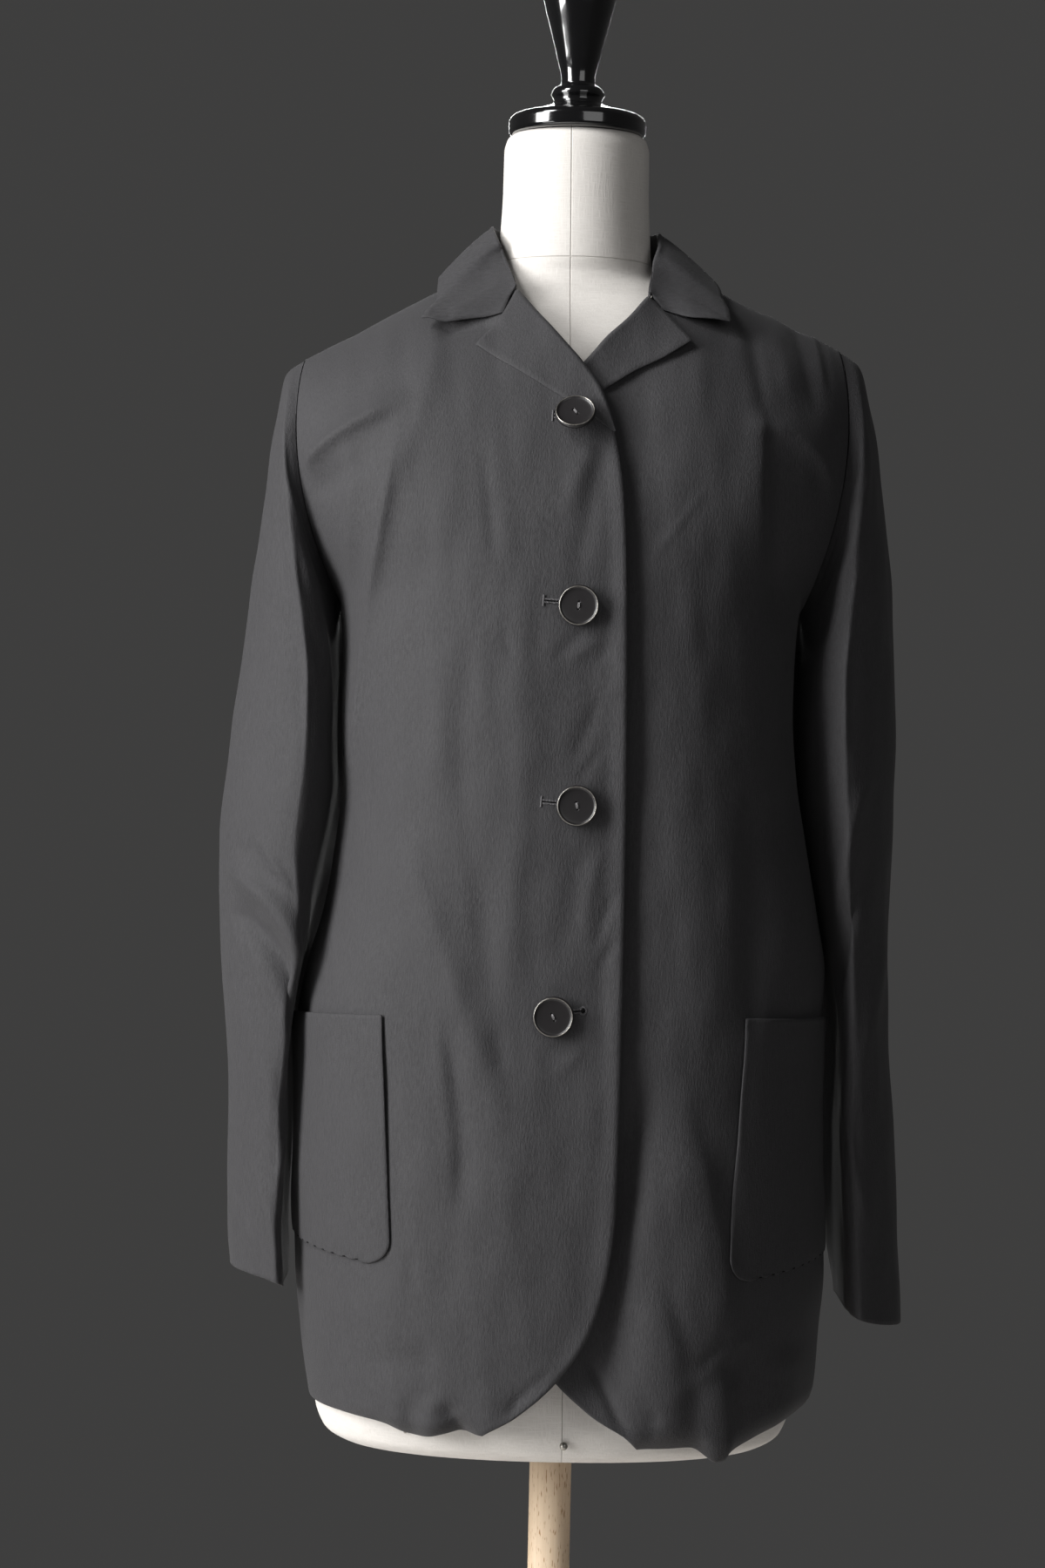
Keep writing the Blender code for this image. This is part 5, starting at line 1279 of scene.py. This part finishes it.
def build_button(button, shell, metal, thread):
    """A dished button with a wire ring in its rim, two holes and the thread through them."""
    name = "button_%d" % button.number
    pose = button_pose(button)
    face = [(r * MM, z * MM) for r, z in BUTTON_FACE]
    body = turned("blazer_" + name, face, BUTTON_ROUND, shell)
    slant = math.radians(button.holes)
    half = BUTTON_HOLES_APART / 2
    holes = [Vector((sign * half * math.sin(slant), sign * half * math.cos(slant), 0))
             for sign in (-1, 1)]
    for vertex in body.data.vertices:
        if vertex.co.z < BUTTON_HOLE_FLOOR:
            continue
        for hole in holes:
            off = (vertex.co.xy - hole.xy).length
            sink = 1 - float(smooth_step(off, *HOLE_RADII))
            vertex.co.z -= (vertex.co.z - BUTTON_HOLE_FLOOR) * sink
    body.data.transform(pose)

    turn = np.linspace(0, 2 * np.pi, BUTTON_ROUND, endpoint=False)
    ring = [Vector((BUTTON_RING * math.cos(a), BUTTON_RING * math.sin(a), BUTTON_RING_Z))
            for a in turn]
    rim = strands_piece(name + "_ring", [strand([pose @ p for p in ring], BUTTON_RING_WIRE,
                                                closed=True)], metal)

    strands = []
    for k in range(THREAD_STRANDS):
        aside = (k - (THREAD_STRANDS - 1) / 2) * THREAD_GAP
        off = Vector((math.cos(slant), -math.sin(slant), 0)) * aside
        path = []
        for s in np.linspace(0, 1, 13):
            flat = holes[0].lerp(holes[1], s) + off * (0.4 + math.sin(math.pi * s))
            arch = THREAD_ARCH * math.sin(math.pi * s) ** 0.5
            drop = THREAD_DROP * abs(2 * s - 1) ** 6
            path.append(pose @ Vector((flat.x, flat.y, BUTTON_DISH + arch - drop)))
        strands.append(strand(path, THREAD_RADIUS))
    shank = [pose @ Vector((0.0, 0.0, BUTTON_DISH / 2)), pose @ Vector((0.0, 0.0, -0.2 * MM))]
    root, _ = on_front("right", button.x, button.z, 0.2 * MM)
    shank.append(Vector(root))
    strands.append(strand(shank, SHANK_RADIUS))
    return body, rim, strands_piece(name + "_thread", strands, thread)


def on_cloth(side, paths):
    """Threads on a front: each path is its points in the front view, its height over the cloth
    and its thickness, and some are closed."""
    x = np.array([p[0] for path in paths for p in path.points])
    z = np.array([p[1] for path in paths for p in path.points])
    rise = np.array([path.rise for path in paths for _ in path.points])
    place, _ = on_front(side, x, z, rise)
    strands = []
    start = 0
    for path in paths:
        end = start + len(path.points)
        strands.append(strand(place[start:end], path.radius, 6, path.closed))
        start = end
    return strands


Path = namedtuple("Path", ("points", "rise", "radius", "closed"), defaults=(False,))


def build_buttonhole(hole, thread, dark):
    """A cut slit bound with close stitches, ending in a bar tack or in a round eyelet."""
    run = Vector((hole.under_x - hole.end_x, hole.under_z - hole.end_z))
    length = run.length
    run /= length
    across = Vector((-run.y, run.x))
    end = Vector((hole.end_x, hole.end_z))
    # the slit is a near-black strand of painted shade, in the dark finish
    cut = [Path([end + run * s for s in np.linspace(0, length, 12)], 0.02 * MM, SLIT_RADIUS)]
    stitches = []
    for k in range(int(length / HOLE_GAUGE)):
        middle = end + run * (k + 0.5) * HOLE_GAUGE
        for sign in (-1, 1):
            reach = (1.55 + 0.18 * math.sin(7.3 * k + sign)) * MM
            inner = middle + across * sign * 0.45 * MM
            outer = middle + across * sign * reach + run * 0.12 * MM * math.sin(3.1 * k)
            stitches.append(Path([inner, (inner + outer) / 2, outer], STITCH_RISE, STITCH_RADIUS))
    if hole.eyelet:
        centre = end + run * -0.4 * MM
        for k in range(EYELET_STITCHES):
            turn = 2 * math.pi * k / EYELET_STITCHES
            way = Vector((math.cos(turn), math.sin(turn)))
            if way.dot(run) > 0.75:
                continue
            reach = (2.9 + 0.25 * math.sin(5.0 * k)) * MM
            stitches.append(Path([centre + way * EYELET_RADIUS, centre + way * reach],
                                 STITCH_RISE, 0.26 * MM))
        # the eyelet's hollow: a ring of painted shade, sunk a little under the cloth
        hollow = [centre + Vector((math.cos(a), math.sin(a))) * 0.75 * MM
                  for a in np.linspace(0, 2 * math.pi, 16, endpoint=False)]
        cut.append(Path(hollow, -0.1 * MM, 0.95 * MM, True))
    else:
        for k in range(TACK_STITCHES):
            middle = end + across * (k - TACK_STITCHES // 2) * TACK_GAUGE
            stitches.append(Path([middle - run * TACK_GAUGE, middle, middle + run * TACK_GAUGE],
                                 0.28 * MM, 0.30 * MM))
    return (strands_piece("buttonhole_slit_%d" % hole.number, on_cloth("right", cut), dark),
            strands_piece("buttonhole_%d" % hole.number, on_cloth("right", stitches), thread))


def build_form(linen):
    turn = 2 * np.pi * np.arange(FORM_ROUND) / FORM_ROUND
    levels = column(FORM, "z")
    fine = np.concatenate([np.linspace(a, b, 8, endpoint=False)
                           for a, b in zip(levels[:-1], levels[1:])] + [levels[-1:]])
    rings = np.zeros((len(fine), FORM_ROUND, 3))
    for r, z in enumerate(fine):
        size = {name: read(FORM, name, z) for name in FORM[0]._fields}
        across, forward = superellipse(turn, size["square"])
        depth = np.where(np.cos(turn) > 0, -size["front"], size["back"])
        rings[r] = np.stack([size["half"] * across * np.sign(np.sin(turn)), depth * forward,
                             np.full(FORM_ROUND, z)], axis=-1)
    index = np.arange(rings[..., 0].size).reshape(rings.shape[:2])
    faces = quads(np.concatenate([index, index[:, :1]], axis=1))
    faces += [list(index[0]), list(index[-1])]
    return piece_from("dress_form", rings.reshape(-1, 3), faces, linen)


def build_pin(pin, metal):
    """A dress pin's round head, pushed in until it touches the linen."""
    half = float(read(FORM, "half", pin.z))
    front = float(read(FORM, "front", pin.z))
    square = float(read(FORM, "square", pin.z))
    depth = front * (1 - (abs(pin.x) / half) ** square) ** (1 / square)
    turn = np.linspace(-math.pi / 2, math.pi / 2, PIN_ROWS)
    ball = [(max(pin.radius * math.cos(a), 0.0), pin.radius * math.sin(a)) for a in turn]
    place = Matrix.Translation((pin.x, -depth - pin.radius, pin.z))
    return turned("form_" + pin.name, ball, 2 * PIN_ROWS, metal, place=place)


def smooth_profile(rows, steps):
    """A turned outline with more points, keeping its corners."""
    points = np.array(rows, float) * MM
    length = np.concatenate([[0], np.cumsum(np.linalg.norm(np.diff(points, axis=0), axis=1))])
    at = np.concatenate([np.linspace(a, b, steps, endpoint=False)
                         for a, b in zip(length[:-1], length[1:])] + [length[-1:]])
    return list(zip(hermite(length, points[:, 0], at), hermite(length, points[:, 1], at)))


def build_stand(beech):
    base = turned("stand_base", smooth_profile(BASE, 4), 128, beech)
    top = FORM[0].z - SEAM
    foot = BASE[-1][1] * MM + SEAM
    pole = ((0.0, foot), (POLE_RADIUS, foot), (POLE_RADIUS, top), (0.0, top))
    return [base, turned("stand_pole", pole, 64, beech)]


# ---------------------------------------------------------------- view, light, floor
def photo_camera():
    view = bpy.data.cameras.new("photo_camera")
    view.sensor_fit = "VERTICAL"
    view.sensor_height = SENSOR
    view.lens = SENSOR * CAMERA_DISTANCE / FRAME_HEIGHT
    camera = bpy.data.objects.new("photo_camera", view)
    camera.matrix_world = (Matrix.Translation(CAMERA_PLACE)
                           @ Matrix.Rotation(math.radians(90), 4, "X")
                           @ Matrix.Rotation(math.radians(CAMERA_ROLL), 4, "Z"))
    bpy.context.scene.collection.objects.link(camera)
    bpy.context.scene.camera = camera


def soft_box(name, place, size, power):
    light = bpy.data.lights.new(name, "AREA")
    light.shape = "RECTANGLE"
    light.size, light.size_y = size
    light.energy = power
    lamp = bpy.data.objects.new(name, light)
    lamp.location = place
    lamp.rotation_euler = (Vector(LIT_PLACE) - Vector(place)).to_track_quat("-Z", "Y").to_euler()
    bpy.context.scene.collection.objects.link(lamp)


def studio():
    for box in SOFT_BOXES:
        soft_box(box.name, (box.x, box.y, box.z), (box.width, box.height), box.power)
    world = bpy.data.worlds.new("studio")
    bpy.context.scene.world = world
    world.use_nodes = True
    background = world.node_tree.nodes["Background"]
    background.inputs["Color"].default_value = linear("#F2F1F0")
    background.inputs["Strength"].default_value = WORLD_STRENGTH
    bpy.context.scene.view_settings.view_transform = "Standard"
    floor = turned("studio_floor", ((0.0, -0.012), (FLOOR_RADIUS, -0.012),
                                    (FLOOR_RADIUS, -0.002), (0.0, -0.002)), 96,
                   # matt pale paper under the stand
                   mottled("studio_paper", 1 / 3.0, 2.0, "#DEDBD8", "#E8E6E3", {"Roughness": 0.9}))


def ride(piece, slot, *nodes):
    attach(piece, "root")
    if nodes:
        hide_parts(*nodes)


def main():
    photo_camera()
    studio()
    crepe = charcoal_crepe("charcoal_crepe", *CREPE_STREAK)
    collar_crepe = charcoal_crepe("charcoal_crepe_across", *CREPE_STREAK[::-1])
    fronts = {side: build_front(side, crepe) for side in SIDES}
    back = build_back(crepe)
    sleeves = {side: build_sleeve(side, crepe) for side in SIDES}
    lapels = {side: build_lapel(side, crepe) for side in SIDES}
    under = [*fronts.values(), back, *lapels.values()]
    collar = build_collar(collar_crepe, surface_of(under))
    # cast polyester button, moulded and polished: near black with a soft gloss
    shell = glossy("black_polyester", 1.2 * MM, 3.0, 0.30, 0.46, {"Base Color": "#1C1A1B"})
    # nickel-plated brass wire set into the button's rim, a little tarnished
    metal = mottled("worn_nickel", 1.5 * MM, 3.0, "#6A6763", "#BEBAB2",
                    {"Metallic": 1.0, "Roughness": 0.35})
    # polyester sewing threads, three plies twisted: matt, mottled where the plies turn
    pale_thread = mottled("button_thread", 0.4 * MM, 1.0, "#545254", "#8D8B8C",
                          {"Roughness": 0.6})
    dark_thread = mottled("buttonhole_twist", 0.4 * MM, 1.0, "#3E3D3F", "#6C6A6C",
                          {"Roughness": 0.6})
    # painted shade: near-black crepe for the cut slits, the eyelet's hollow and the pockets' prick
    # stitches, where little light reaches
    shade = mottled("shaded_crepe", 0.5 * MM, 2.0, "#060606", "#121212",
                    {"Roughness": 0.95, "Specular IOR Level": 0.1})
    pockets = {p.side: build_pocket(p, crepe, shade) for p in POCKETS}
    buttons = {b.number: build_button(b, shell, metal, pale_thread) for b in BUTTONS}
    holes = [build_buttonhole(hole, dark_thread, shade) for hole in BUTTONHOLES]
    form = build_form(warm_white_linen())
    pins = [build_pin(pin, metal) for pin in PINS]
    # turned wood under black gloss lacquer: deep black with sharp soft-box reflections
    lacquer = glossy("black_lacquered_wood", 14 * MM, 4.0, 0.08, 0.20,
                     {"Base Color": "#0B0B0C", "Coat Weight": 1.0, "Coat Roughness": 0.04})
    cap = turned("neck_cap_turned", smooth_profile(CAP, 6), 96, lacquer)
    base, pole = build_stand(pale_beech())

    for side in SIDES:
        ride(fronts[side], "crepe", "front_" + side)
        ride(sleeves[side], "crepe", "sleeve_" + side)
        ride(lapels[side], "crepe", "lapel_" + side)
        ride(pockets[side][0], "crepe", "pocket_" + side)
        ride(pockets[side][1], "crepe")
    ride(back, "crepe", "back")
    ride(collar, "crepe", "collar")
    for number, (body, rim, thread) in buttons.items():
        ride(body, "button", "button_%d" % number)
        ride(rim, "button")
        ride(thread, "crepe")
    for slit, stitches in holes:
        ride(slit, "crepe")
        ride(stitches, "crepe")
    ride(form, "linen", "form")
    for pin in pins:
        ride(pin, "linen")
    ride(cap, "lacquer", "neck_cap")
    ride(base, "beech", "base")
    ride(pole, "beech", "pole")


main()
